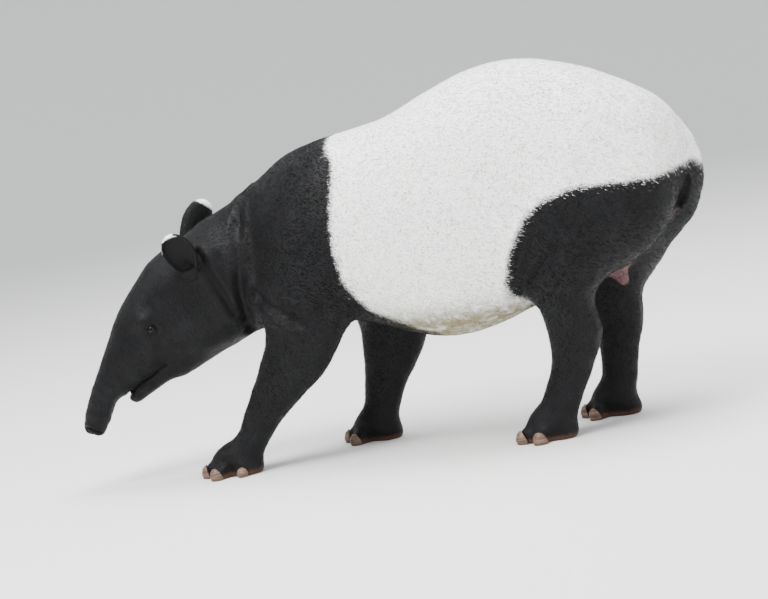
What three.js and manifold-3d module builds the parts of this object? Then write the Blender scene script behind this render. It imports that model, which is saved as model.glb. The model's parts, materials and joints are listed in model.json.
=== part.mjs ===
// A life-size Malayan tapir that stands with its head lowered, as one body parted by thin cuts.
// Millimetres, +Z up. The head points to -X and the animal's left side to -Y. The feet rest on z = 0.
import * as THREE from 'three';
import { mergeVertices } from 'three/addons/utils/BufferGeometryUtils.js';
import Module from 'manifold-3d';

const wasm = await Module();
wasm.setup();

// Driving dimensions
const SEAM = 0.3; // free space between neighbouring pieces
const RUMP_TOP = 1009; // highest point of the back, over the loin
const WITHERS_TOP = 888; // top of the back over the shoulders
const BELLY_LOW = 288; // lowest point of the belly
const BARREL_HALF = 285; // half width of the belly at its widest
const HEAD_YAW = 14; // degrees that the head turns to the animal's left
const HEAD_PITCH = 52; // degrees that the head points down
const HEAD_ROLL = 8; // degrees that the head leans to the animal's left
const POLL = [-600, -62, 560]; // middle of the head between the ears
const EYE_AT = [196, 76, 54]; // centre of an eyeball: along, across and above the head's axis
const EYE_RADIUS = 15;
const LID_OPENING = [15, 11]; // half length and half height of the gap between the lids
const EAR_LENGTH = 130;
const EAR_WIDTH = 94;
const EAR_WALL = 8;
const MOUTH_CORNER = [318, -12]; // where the line of the mouth ends: along and above the head's axis
const TRUNK_TIP = [540, 46];
const TAIL_LENGTH = 92;
const SPHERE_SIDES = 12;
const HOOF_THICK = 2.5; // how far a hoof stands proud of its toe
const TOE_GAP = 2; // extra free space that parts one toe from the next
const ANKLE = 110; // above this a leg is meshed more coarsely
const EAR_ROOT = 22; // how far an ear runs on into the head before it is cut off

// Size of the mesh cells of each region
const TORSO_CELL = 48;
const NECK_CELL = 40;
const HEAD_CELL = 27;
const MUZZLE_CELL = 17;
const LEG_CELL = 34;
const FOOT_CELL = 20;

// Finishes
const finish = (color, roughness) => new THREE.MeshStandardMaterial({ color, roughness, metalness: 0 });
const BLACK_COAT = finish(0x2b2a2d, 0.75);
const WHITE_COAT = finish(0xe9e9e8, 0.8);
const EYE_GLOSS = finish(0x120d0b, 0.12);
const HOOF_HORN = finish(0x8f6a55, 0.55);

// Small number helpers
const radians = (degrees) => (degrees * Math.PI) / 180;
const blendNumber = (a, b, c, d, t) =>
  0.5 * (2 * b + (c - a) * t + (2 * a - 5 * b + 4 * c - d) * t * t + (3 * b - a - 3 * c + d) * t * t * t);

// Smooth joins of two distance fields over a blend of k millimetres
function smoothJoin(a, b, k) {
  const h = Math.max(k - Math.abs(a - b), 0) / k;
  return Math.min(a, b) - h * h * k * 0.25;
}

// A body swept along stations [x, y, z, up, down, side], where up, down and side are radii.
// The section is an ellipse, or squarer where power is above 2, and each end is a dome of its cap radius.
function sweep(stations, { top = [0, 0, 1], power = 2, caps = [60, 60], steps = 6 }) {
  const samples = [];
  const last = stations.length - 1;
  for (let i = 0; i < last; i += 1) {
    const before = stations[Math.max(i - 1, 0)];
    const after = stations[Math.min(i + 2, last)];
    const around = [before, stations[i], stations[i + 1], after];
    for (let k = 0; k < steps; k += 1) {
      samples.push(stations[i].map((_, n) => blendNumber(...around.map((s) => s[n]), k / steps)));
    }
  }
  samples.push(stations[last]);
  const pieces = [];
  for (let i = 0; i + 1 < samples.length; i += 1) {
    const a = samples[i];
    const b = samples[i + 1];
    const along = new THREE.Vector3(b[0] - a[0], b[1] - a[1], b[2] - a[2]);
    const length = along.length();
    along.normalize();
    const side = new THREE.Vector3().crossVectors(along, new THREE.Vector3(...top)).normalize();
    const up = new THREE.Vector3().crossVectors(side, along);
    pieces.push({ a, b, length, along, side, up });
  }
  const reach = Math.max(...samples.map((s) => Math.max(s[3], s[4], s[5])), ...caps);
  const low = [0, 1, 2].map((n) => Math.min(...samples.map((s) => s[n])) - reach);
  const high = [0, 1, 2].map((n) => Math.max(...samples.map((s) => s[n])) + reach);
  return (x, y, z) => {
    const far = Math.max(low[0] - x, x - high[0], low[1] - y, y - high[1], low[2] - z, z - high[2]);
    if (far > 80) return far;
    let best = Infinity;
    let chosen = null;
    let share = 0;
    for (const piece of pieces) {
      const dx = x - piece.a[0];
      const dy = y - piece.a[1];
      const dz = z - piece.a[2];
      let t = (dx * piece.along.x + dy * piece.along.y + dz * piece.along.z) / piece.length;
      t = Math.min(Math.max(t, 0), 1);
      const ex = dx - piece.along.x * t * piece.length;
      const ey = dy - piece.along.y * t * piece.length;
      const ez = dz - piece.along.z * t * piece.length;
      const distance = ex * ex + ey * ey + ez * ez;
      if (distance < best) {
        best = distance;
        chosen = piece;
        share = t;
      }
    }
    const { a, b, along, side, up } = chosen;
    const mix = (n) => a[n] + (b[n] - a[n]) * share;
    const dx = x - mix(0);
    const dy = y - mix(1);
    const dz = z - mix(2);
    const v = dx * up.x + dy * up.y + dz * up.z;
    const s = dx * side.x + dy * side.y + dz * side.z;
    const w = dx * along.x + dy * along.y + dz * along.z;
    const norm = (Math.abs(v / (v > 0 ? mix(3) : mix(4))) ** power + Math.abs(s / mix(5)) ** power
      + Math.abs(w / (w > 0 ? caps[1] : caps[0])) ** power) ** (1 / power);
    const size = Math.sqrt(dx * dx + dy * dy + dz * dz);
    return norm < 1e-4 ? -Math.min(mix(3), mix(4), mix(5)) : size - size / norm;
  };
}

// An ellipsoid of three radii, tilted about Y by pitch and turned about Z by yaw, in degrees
function mass([cx, cy, cz], [rx, ry, rz], pitch = 0, yaw = 0) {
  const turn = new THREE.Matrix4().makeRotationZ(radians(yaw));
  turn.multiply(new THREE.Matrix4().makeRotationY(radians(pitch))).transpose();
  const e = turn.elements;
  return (x, y, z) => {
    const dx = x - cx;
    const dy = y - cy;
    const dz = z - cz;
    const px = (e[0] * dx + e[4] * dy + e[8] * dz) / rx;
    const py = (e[1] * dx + e[5] * dy + e[9] * dz) / ry;
    const pz = (e[2] * dx + e[6] * dy + e[10] * dz) / rz;
    const norm = Math.sqrt(px * px + py * py + pz * pz);
    const size = Math.sqrt(dx * dx + dy * dy + dz * dz);
    return norm < 1e-4 ? -Math.min(rx, ry, rz) : size - size / norm;
  };
}

// The head has its own axes: along to the snout, across to its left or right, and above
const FORWARD = new THREE.Vector3(
  -Math.cos(radians(HEAD_PITCH)) * Math.cos(radians(HEAD_YAW)),
  -Math.cos(radians(HEAD_PITCH)) * Math.sin(radians(HEAD_YAW)),
  -Math.sin(radians(HEAD_PITCH)),
);
const ABOVE = new THREE.Vector3(
  -Math.sin(radians(HEAD_PITCH)) * Math.cos(radians(HEAD_YAW)),
  -Math.sin(radians(HEAD_PITCH)) * Math.sin(radians(HEAD_YAW)),
  Math.cos(radians(HEAD_PITCH)),
);
ABOVE.applyAxisAngle(FORWARD, radians(-HEAD_ROLL));
const ACROSS = new THREE.Vector3().crossVectors(ABOVE, FORWARD); // to the animal's left
const HEAD_FRAME = new THREE.Matrix4().makeBasis(FORWARD, ACROSS, ABOVE).setPosition(...POLL);
const headPoint = (...place) => new THREE.Vector3(...place).applyMatrix4(HEAD_FRAME);

// The body of the torso: [x, y, top, bottom, half width] about a level axis. Its end lies to the right,
// because the left hip is swung forward.
const TORSO_AXIS = 640;
const TORSO_STATIONS = [
  [716, 42, 834, 592, 98],
  [690, 36, 862, 540, 140],
  [600, 14, 921, 440, 210],
  [480, 0, 976, 390, 256],
  [330, 0, RUMP_TOP, 352, 278],
  [200, 0, 996, 306, BARREL_HALF],
  [80, 0, 952, BELLY_LOW, BARREL_HALF],
  [-40, 0, 904, 312, 262],
  [-160, 0, WITHERS_TOP - 8, 366, 222],
  [-270, 0, 838, 410, 180],
].map(([x, y, top, bottom, half]) => [x, y, TORSO_AXIS, top - TORSO_AXIS, TORSO_AXIS - bottom, half]);

const torsoSweep = sweep(TORSO_STATIONS, { power: 2.2, caps: [30, 120] });

// The neck, from inside the chest to the back of the head
const neckSweep = sweep([
  [-190, 0, 636, 205, 225, 180],
  [-300, -4, 606, 200, 215, 160],
  [-400, -14, 575, 194, 190, 142],
  [-490, -34, 556, 171, 180, 130],
  [-560, -52, 545, 134, 176, 120],
], { power: 2.1, caps: [90, 60] });

// The skull and the trunk, and the lower jaw: [along, above, up, down, half width] on the head's axes
const onHead = (stations) => stations.map(([along, above, up, down, half]) => {
  const p = headPoint(along, 0, above);
  return [p.x, p.y, p.z, up, down, half];
});
const HEAD_TOP = ABOVE.toArray();
const skullSweep = sweep(onHead([
  [-90, -20, 84, 130, 112],
  [0, -12, 130, 140, 108],
  [90, 0, 148, 130, 104],
  [180, 26, 128, 110, 94],
  [250, 42, 108, 78, 80],
  [310, 52, 84, 66, 66],
  [370, 60, 64, 47, 54],
  [430, 66, 46, 35, 45],
  [490, 62, 35, 41, 40],
  [525, 52, 30, 34, 36],
]), { top: HEAD_TOP, power: 2.15, caps: [60, 24] });
const jawSweep = sweep(onHead([
  [40, -75, 70, 118, 88],
  [120, -72, 66, 107, 84],
  [200, -62, 52, 76, 70],
  [268, -48, 42, 53, 56],
  [296, -42, 38, 32, 50],
  [330, -30, 34, 26, 44],
  [388, -6, 30, 24, 33],
]), { top: HEAD_TOP, power: 2.2, caps: [60, 26] });

// Legs run down from the hip or shoulder: [x, y, z, front, back, side] with the front as up
const LEG_FRONT = [-1, 0, 0];
const legSweep = (stations, caps = [70, 26]) => sweep(stations, { top: LEG_FRONT, power: 2.2, caps });
const foreLeft = legSweep([
  [-235, -128, 560, 120, 110, 82],
  [-290, -140, 440, 136, 118, 80],
  [-335, -145, 330, 100, 100, 68],
  [-398, -147, 240, 74, 72, 56],
  [-458, -148, 160, 58, 50, 47],
  [-510, -148, 90, 44, 46, 43],
  [-544, -148, 46, 44, 54, 50],
]);
const foreRight = legSweep([
  [-150, 128, 560, 115, 110, 82],
  [-140, 138, 440, 118, 108, 80],
  [-140, 140, 330, 96, 110, 66],
  [-160, 138, 240, 78, 88, 56],
  [-182, 134, 160, 62, 60, 48],
  [-203, 132, 90, 52, 52, 45],
  [-220, 130, 46, 50, 58, 52],
]);
const hindLeft = legSweep([
  [470, -140, 620, 150, 150, 92],
  [440, -150, 480, 138, 88, 90],
  [425, -152, 372, 104, 58, 74],
  [408, -150, 292, 66, 90, 62],
  [392, -142, 200, 50, 66, 46],
  [358, -136, 112, 50, 54, 42],
  [326, -132, 48, 48, 58, 50],
]);
const hindRight = legSweep([
  [540, 130, 620, 170, 190, 92],
  [530, 132, 480, 150, 130, 92],
  [510, 128, 360, 100, 72, 74],
  [500, 122, 270, 70, 72, 58],
  [492, 114, 190, 58, 60, 46],
  [482, 108, 110, 50, 52, 42],
  [466, 106, 48, 56, 52, 50],
]);

// The two small lobes of bare skin that hang between the hind legs: [centre, radii]
const UDDER = [
  [[528, 6, 420], [40, 28, 38]],
  [[543, 4, 386], [21, 18, 23]],
];

// Feet: a pad at the heel and three or four toes, each with a hoof on its front
const FEET = {
  foreleg_left: { at: [-572, -148], aim: 186, toes: 4, out: -1 },
  foreleg_right: { at: [-234, 130], aim: 176, toes: 4, out: 1 },
  hindleg_left: { at: [308, -132], aim: 204, toes: 3, out: -1 },
  hindleg_right: { at: [452, 106], aim: 176, toes: 3, out: 1 },
};
const TOE_FAN = [0, -44, 52, 96]; // degrees from the foot's aim, the fourth on the outer side
const TOE_REACH = [54, 49, 50, 44];
const TOE_SIZE = [[38, 24, 31], [34, 21, 28], [34, 21, 28], [22, 15, 21]];
const TOE_LIFT = [12, 11, 11, 12];

function toeList({ at, aim, toes, out }) {
  const list = [];
  for (let i = 0; i < toes; i += 1) {
    const turn = aim + (i === 3 ? -out * TOE_FAN[3] : TOE_FAN[i]);
    const reach = TOE_REACH[i];
    const back = i === 3 ? 26 : 0;
    list.push({
      turn,
      size: TOE_SIZE[i],
      at: [
        at[0] + reach * Math.cos(radians(turn)) - back * Math.cos(radians(aim)),
        at[1] + reach * Math.sin(radians(turn)) - back * Math.sin(radians(aim)),
        TOE_LIFT[i],
      ],
    });
  }
  return list;
}

// Muscles and pads that the sweeps leave out: [field, blend]
const torsoMasses = [
  [mass([566, -116, 616], [144, 96, 154]), 60], // left buttock
  [mass([638, 112, 648], [150, 98, 188]), 70],
  [mass([424, -168, 560], [152, 92, 166]), 70], // left thigh
  [mass([500, 165, 540], [170, 92, 200], -10), 80],
  [mass([-225, -135, 610], [135, 82, 215], 18), 90], // left shoulder
  [mass([-170, 135, 610], [135, 82, 215], 8), 90],
  [mass([-330, -8, 470], [120, 128, 105]), 70], // breast
];
const headMasses = [
  [mass(headPoint(95, 66, -68).toArray(), [95, 42, 72], -HEAD_PITCH, HEAD_YAW), 40], // cheeks
  [mass(headPoint(95, -66, -68).toArray(), [95, 42, 72], -HEAD_PITCH, HEAD_YAW), 40],
  [mass(headPoint(188, 66, 76).toArray(), [42, 22, 22], -HEAD_PITCH, HEAD_YAW), 26], // brows
  [mass(headPoint(188, -66, 76).toArray(), [42, 22, 22], -HEAD_PITCH, HEAD_YAW), 26],
];

const footField = (name) => {
  const foot = FEET[name];
  const pads = toeList(foot).map((toe) => mass(toe.at, toe.size, 0, toe.turn));
  const ahead = (by) => foot.at[0] + by * Math.cos(radians(foot.aim));
  const heel = mass([ahead(-34), foot.at[1], 16], [46, 44, 38], 0, foot.aim);
  const instep = mass([ahead(16), foot.at[1], 50], [54, 40, 34], 34, foot.aim);
  return (x, y, z) => {
    let f = smoothJoin(heel(x, y, z), instep(x, y, z), 24);
    for (const pad of pads) f = smoothJoin(f, pad(x, y, z), 12);
    return f;
  };
};
const LEGS = {
  foreleg_left: foreLeft,
  foreleg_right: foreRight,
  hindleg_left: hindLeft,
  hindleg_right: hindRight,
};
const legFields = Object.entries(LEGS).map(([name, leg]) => {
  const foot = footField(name);
  return (x, y, z) => (z > 160 ? leg(x, y, z) : smoothJoin(leg(x, y, z), foot(x, y, z), 30));
});

function coreField(x, y, z) {
  let f = smoothJoin(torsoSweep(x, y, z), neckSweep(x, y, z), 110);
  for (const [field, blend] of torsoMasses) f = smoothJoin(f, field(x, y, z), blend);
  return f;
}

function leggedField(x, y, z) {
  let legs = legFields[0](x, y, z);
  for (const field of legFields.slice(1)) legs = Math.min(legs, field(x, y, z));
  return smoothJoin(coreField(x, y, z), legs, 46);
}

function headedField(x, y, z) {
  let head = smoothJoin(skullSweep(x, y, z), jawSweep(x, y, z), 22);
  for (const [field, blend] of headMasses) head = smoothJoin(head, field(x, y, z), blend);
  return smoothJoin(coreField(x, y, z), head, 60);
}

function bodyField(x, y, z) {
  return x > -420 ? leggedField(x, y, z) : Math.min(leggedField(x, y, z), headedField(x, y, z));
}

// Surface of a field inside a box, as a closed mesh of quads whose corners are moved onto the surface
function meshField(field, low, high, cell, frame = new THREE.Matrix4()) {
  const counts = [0, 1, 2].map((n) => Math.ceil((high[n] - low[n]) / cell) + 1);
  const [nx, ny, nz] = counts;
  const point = new THREE.Vector3();
  const sample = (px, py, pz) => {
    point.set(px, py, pz).applyMatrix4(frame);
    return field(point.x, point.y, point.z);
  };
  const values = new Float64Array(nx * ny * nz);
  const index = (i, j, k) => (k * ny + j) * nx + i;
  for (let k = 0; k < nz; k += 1) {
    for (let j = 0; j < ny; j += 1) {
      for (let i = 0; i < nx; i += 1) {
        const edge = i === 0 || j === 0 || k === 0 || i === nx - 1 || j === ny - 1 || k === nz - 1;
        const value = sample(low[0] + i * cell, low[1] + j * cell, low[2] + k * cell);
        values[index(i, j, k)] = edge ? Math.max(value, cell * 0.5) : value;
      }
    }
  }
  const corners = [];
  const cornerOf = new Map();
  const cellCorner = (i, j, k) => {
    const key = index(i, j, k);
    if (cornerOf.has(key)) return cornerOf.get(key);
    const sum = [0, 0, 0];
    let hits = 0;
    for (let axis = 0; axis < 3; axis += 1) {
      for (let m = 0; m < 4; m += 1) {
        const start = [i, j, k];
        start[(axis + 1) % 3] += m & 1;
        start[(axis + 2) % 3] += m >> 1;
        const end = [...start];
        end[axis] += 1;
        const a = values[index(...start)];
        const b = values[index(...end)];
        if (a < 0 !== b < 0) {
          const t = a / (a - b);
          for (let n = 0; n < 3; n += 1) sum[n] += start[n] + (end[n] - start[n]) * t;
          hits += 1;
        }
      }
    }
    const corner = sum.map((value, n) => low[n] + (value / hits) * cell);
    for (let round = 0; round < 3; round += 1) {
      const h = cell * 0.05;
      const f = sample(...corner);
      const slope = [0, 1, 2].map((n) => {
        const moved = [...corner];
        moved[n] += h;
        return (sample(...moved) - f) / h;
      });
      const steep = slope[0] ** 2 + slope[1] ** 2 + slope[2] ** 2;
      const rim = cell * 1.01;
      const inside = corner.every((value, n) => value > low[n] + rim && value < high[n] - rim);
      if (!inside || steep < 0.04) break;
      const step = Math.max(-cell * 0.4, Math.min(cell * 0.4, f / Math.sqrt(steep))) / Math.sqrt(steep);
      for (let n = 0; n < 3; n += 1) corner[n] -= slope[n] * step;
    }
    corners.push(corner);
    cornerOf.set(key, corners.length - 1);
    return corners.length - 1;
  };
  const triangles = [];
  const gap = (a, b) => Math.hypot(...corners[a].map((value, n) => value - corners[b][n]));
  for (let k = 0; k < nz - 1; k += 1) {
    for (let j = 0; j < ny - 1; j += 1) {
      for (let i = 0; i < nx - 1; i += 1) {
        for (let axis = 0; axis < 3; axis += 1) {
          const next = [i, j, k];
          next[axis] += 1;
          const a = values[index(i, j, k)];
          const b = values[index(...next)];
          if (a < 0 === b < 0) continue;
          const u = (axis + 1) % 3;
          const v = (axis + 2) % 3;
          const quad = [[0, 0], [1, 0], [1, 1], [0, 1]].map(([du, dv]) => {
            const c = [i, j, k];
            c[u] -= du;
            c[v] -= dv;
            return cellCorner(...c);
          });
          if (a >= 0) quad.reverse();
          const [p, q, r, s] = quad;
          if (gap(p, r) < gap(q, s)) triangles.push(p, q, r, p, r, s);
          else triangles.push(q, r, s, q, s, p);
        }
      }
    }
  }
  const positions = new Float32Array(corners.length * 3);
  corners.forEach((corner, n) => {
    point.set(...corner).applyMatrix4(frame).toArray(positions, n * 3);
  });
  const geometry = new THREE.BufferGeometry();
  geometry.setAttribute('position', new THREE.BufferAttribute(positions, 3));
  geometry.setIndex(triangles);
  return geometry;
}

// Solids for joining and cutting
function solid(geometry) {
  let bare = geometry.clone();
  for (const name of Object.keys(bare.attributes)) if (name !== 'position') bare.deleteAttribute(name);
  bare = mergeVertices(bare, 1e-4);
  return new wasm.Manifold(new wasm.Mesh({
    numProp: 3,
    vertProperties: new Float32Array(bare.attributes.position.array),
    triVerts: new Uint32Array(bare.index.array),
  }));
}

function largest(body) {
  const parts = body.decompose();
  parts.sort((a, b) => b.volume() - a.volume());
  return parts[0];
}

function geometryOf(body) {
  const mesh = largest(body).getMesh();
  const geometry = new THREE.BufferGeometry();
  geometry.setAttribute('position', new THREE.BufferAttribute(new Float32Array(mesh.vertProperties), 3));
  geometry.setIndex(new THREE.BufferAttribute(new Uint32Array(mesh.triVerts), 1));
  geometry.computeVertexNormals();
  return geometry;
}

// A large block whose one face lies on a plane: it fills the side that the normal points to
function halfSpace(at, normal, shift = 0) {
  const size = 3000;
  const n = new THREE.Vector3(...normal).normalize();
  const block = new THREE.BoxGeometry(size, size, size);
  block.translate(0, 0, size / 2 + shift);
  block.applyQuaternion(new THREE.Quaternion().setFromUnitVectors(new THREE.Vector3(0, 0, 1), n));
  block.translate(...at);
  return solid(block);
}

function block(low, high, grow = 0) {
  const size = high.map((value, n) => value - low[n] + 2 * grow);
  const box = new THREE.BoxGeometry(...size);
  box.translate(...high.map((value, n) => (value + low[n]) / 2));
  return solid(box);
}

function ellipsoid(at, radii, turn = new THREE.Euler(), sides = SPHERE_SIDES) {
  const ball = new THREE.SphereGeometry(1, sides, Math.ceil(sides * 0.6));
  ball.scale(...radii);
  ball.applyMatrix4(new THREE.Matrix4().makeRotationFromEuler(turn));
  ball.translate(...at);
  return solid(ball);
}

// A closed body through rings of points, each ring the same number of points, with flat ends
function loft(rings) {
  const sides = rings[0].length;
  const corners = rings.flat();
  const triangles = [];
  for (let i = 0; i + 1 < rings.length; i += 1) {
    for (let j = 0; j < sides; j += 1) {
      const a = i * sides + j;
      const b = i * sides + ((j + 1) % sides);
      triangles.push(a, b, b + sides, a, b + sides, a + sides);
    }
  }
  for (const [ring, flip] of [[0, true], [rings.length - 1, false]]) {
    const middle = new THREE.Vector3();
    for (const point of rings[ring]) middle.addScaledVector(point, 1 / sides);
    corners.push(middle);
    for (let j = 0; j < sides; j += 1) {
      const a = ring * sides + j;
      const b = ring * sides + ((j + 1) % sides);
      triangles.push(...(flip ? [b, a, corners.length - 1] : [a, b, corners.length - 1]));
    }
  }
  const geometry = new THREE.BufferGeometry().setFromPoints(corners);
  geometry.setIndex(triangles);
  const body = solid(geometry);
  if (body.volume() > 0) return body;
  geometry.setIndex(triangles.map((_, n) => triangles[n - (n % 3) + (2 - (n % 3))]));
  return solid(geometry);
}

// A round cord through points, thinner towards both ends
function ridge(points, radius, sides = 5, ends = 0.35) {
  const curve = new THREE.CatmullRomCurve3(points);
  const count = Math.ceil(points.length * 1.4);
  const rings = [];
  for (let i = 0; i <= count; i += 1) {
    const t = i / count;
    const at = curve.getPoint(t);
    const along = curve.getTangent(t);
    const side = new THREE.Vector3().crossVectors(along, ABOVE).normalize();
    const up = new THREE.Vector3().crossVectors(side, along);
    const r = radius * (ends + (1 - ends) * Math.sin(Math.PI * t) ** 0.5);
    rings.push([...Array(sides)].map((_, j) => {
      const turn = (2 * Math.PI * j) / sides;
      return at.clone().addScaledVector(side, r * Math.cos(turn)).addScaledVector(up, r * Math.sin(turn));
    }));
  }
  return loft(rings);
}

// The point on the side of the head at a place along and above its axis, moved outwards by lift
function onSide(along, above, side, lift = 0) {
  let inner = 0;
  let outer = 160;
  for (let round = 0; round < 24; round += 1) {
    const middle = (inner + outer) / 2;
    const p = headPoint(along, middle * side, above);
    if (headedField(p.x, p.y, p.z) < 0) inner = middle;
    else outer = middle;
  }
  return headPoint(along, (inner + lift) * side, above);
}

// A copy of a solid whose surface stands a little proud, for cutting a neighbour clear of it
function swollen(body, by = SEAM) {
  const geometry = geometryOf(body);
  const normals = geometry.attributes.normal;
  const positions = geometry.attributes.position;
  for (let i = 0; i < positions.count; i += 1) {
    positions.setXYZ(
      i,
      positions.getX(i) + by * normals.getX(i),
      positions.getY(i) + by * normals.getY(i),
      positions.getZ(i) + by * normals.getZ(i),
    );
  }
  return solid(geometry);
}

// Cuts that part the body
const NECK_ROOT = { at: [-330, 0, 600], normal: [-1, -0.06, 0.12] };
const HEAD_ROOT = { at: headPoint(-95, 0, 0).toArray(), normal: [FORWARD.x, FORWARD.y, -0.11] };
const FLOOR = { at: [0, 0, 0], normal: [0, 0, 1] };
const LEG_SPACES = {
  foreleg_left: { low: [-520, -330, -60], high: [-150, -20, 358], ahead: 200 },
  foreleg_right: { low: [-300, 20, -60], high: [-24, 330, 318], ahead: 120 },
  hindleg_left: { low: [312, -330, -60], high: [640, -16, 372], ahead: 130 },
  hindleg_right: { low: [330, 16, -60], high: [700, 330, 372], ahead: 20 },
};
const FOOT_HEIGHT = 230; // below this a foot may reach ahead of its leg's space

const group = new THREE.Group();
function add(name, body, material) {
  const mesh = new THREE.Mesh(geometryOf(body), material);
  mesh.name = name;
  group.add(mesh);
}

// Torso
let torso = solid(meshField(bodyField, [-420, -340, 230], [860, 340, 1080], TORSO_CELL));
torso = torso.intersect(halfSpace(NECK_ROOT.at, NECK_ROOT.normal.map((v) => -v), SEAM / 2));
for (const { low, high } of Object.values(LEG_SPACES)) torso = torso.subtract(block(low, high, SEAM));
for (const [at, radii] of UDDER) torso = torso.add(ellipsoid(at, radii));
torso = largest(torso);

// Neck
let neck = solid(meshField(bodyField, [-720, -300, 290], [-270, 260, 970], NECK_CELL));
neck = neck.intersect(halfSpace(NECK_ROOT.at, NECK_ROOT.normal, SEAM / 2));
neck = neck.intersect(halfSpace(HEAD_ROOT.at, HEAD_ROOT.normal.map((v) => -v), SEAM / 2));
for (const { low, high } of Object.values(LEG_SPACES)) neck = neck.subtract(block(low, high, SEAM));
neck = largest(neck);

// Head: the skull and a finer muzzle
const MUZZLE_START = 288;
const BACKWARD = FORWARD.clone().negate();
const skullHigh = [MUZZLE_START + 30, 150, 220];
let skull = solid(meshField(headedField, [-200, -150, -280], skullHigh, HEAD_CELL, HEAD_FRAME));
skull = skull.intersect(halfSpace(headPoint(MUZZLE_START + 4, 0, 0).toArray(), BACKWARD.toArray()));
const muzzleLow = [MUZZLE_START - 20, -100, -130];
let muzzle = solid(meshField(headedField, muzzleLow, [590, 100, 180], MUZZLE_CELL, HEAD_FRAME));
muzzle = muzzle.intersect(halfSpace(headPoint(MUZZLE_START, 0, 0).toArray(), FORWARD.toArray()));
let head = largest(skull.add(muzzle).intersect(halfSpace(HEAD_ROOT.at, HEAD_ROOT.normal, SEAM / 2)));
const bareHead = head;

// The mouth is a wedge that opens towards the chin
const mouth = new THREE.Shape();
mouth.moveTo(MOUTH_CORNER[0], MOUTH_CORNER[1] + 1);
mouth.quadraticCurveTo(345, 5, 384, 14);
mouth.lineTo(440, 26);
mouth.lineTo(440, 5);
mouth.lineTo(404, 7);
mouth.quadraticCurveTo(356, 8, MOUTH_CORNER[0], MOUTH_CORNER[1] - 1);
const mouthCut = new THREE.ExtrudeGeometry(mouth, { depth: 200, bevelEnabled: false, curveSegments: 4 });
mouthCut.translate(0, 0, -100);
mouthCut.rotateX(Math.PI / 2);
mouthCut.applyMatrix4(HEAD_FRAME);
head = head.subtract(solid(mouthCut));

for (const side of [1, -1]) {
  // Lips over and under the mouth, and the soft fold that runs back from its corner
  const upperLip = [[306, -8], [328, 2], [350, 12], [370, 19], [388, 24]];
  const lowerLip = [[310, -20], [334, -14], [360, -10], [386, -12]];
  head = head.add(ridge(upperLip.map(([along, above]) => onSide(along, above, side, -3)), 6));
  head = head.add(ridge(lowerLip.map(([along, above]) => onSide(along, above, side, -3)), 5.5));

  // Eyeball, socket and lids
  const [along, across, above] = EYE_AT;
  const at = headPoint(along, across * side, above).toArray();
  const free = EYE_RADIUS + SEAM;
  const [openLength, openHeight] = LID_OPENING;
  const window = new THREE.CylinderGeometry(1, 1, 40, 12);
  window.scale(openLength, 1, openHeight);
  window.translate(0, (across + 20) * side, 0);
  window.applyMatrix4(new THREE.Matrix4().makeTranslation(along, 0, above).premultiply(HEAD_FRAME));
  head = head.add(ellipsoid(at, [EYE_RADIUS + 7, EYE_RADIUS + 7, EYE_RADIUS + 7]));
  for (const [from, lift, thick] of [[1, 1, 5], [-1, -1, 4]]) {
    const lid = [-1, -0.6, 0, 0.6, 1].map((share) => {
      const rise = lift * Math.sqrt(Math.max(0, 1 - share * share)) * (openHeight + 2);
      const place = new THREE.Vector3(share * (openLength + 3), 0, rise + from);
      place.y = Math.sqrt(Math.max(60, (EYE_RADIUS + 3) ** 2 - place.x ** 2 * 0.5 - place.z ** 2 * 0.5));
      return headPoint(along + place.x, (across + place.y) * side, above + place.z);
    });
    head = head.add(ridge(lid, thick, 5, 0.5));
  }
  head = head.subtract(solid(window)).subtract(ellipsoid(at, [free, free, free]));
  add(side > 0 ? 'eye_left' : 'eye_right', ellipsoid(at, [EYE_RADIUS, EYE_RADIUS, EYE_RADIUS]), EYE_GLOSS);

  // Nostril in the end of the trunk
  const nostril = new THREE.SphereGeometry(1, 10, 8);
  nostril.scale(22, 8, 11);
  nostril.translate(TRUNK_TIP[0] + 4, 14 * side, TRUNK_TIP[1]);
  nostril.applyMatrix4(HEAD_FRAME);
  head = head.subtract(solid(nostril));
}

// Ears: a cup whose opening faces out, cut to sit on the head
const EARS = {
  ear_left: { base: [1, 113, 44], tip: [-63, 163, 146], facing: [0.16, 0.95, 0.2] },
  ear_right: { base: [-43, -86, 66], tip: [-177, -128, 70], facing: [0.38, -0.85, 0.3] },
};
const EAR_LEVELS = [0, 0.1, 0.2, 0.34, 0.5, 0.66, 0.82, 0.93, 0.99];

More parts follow.
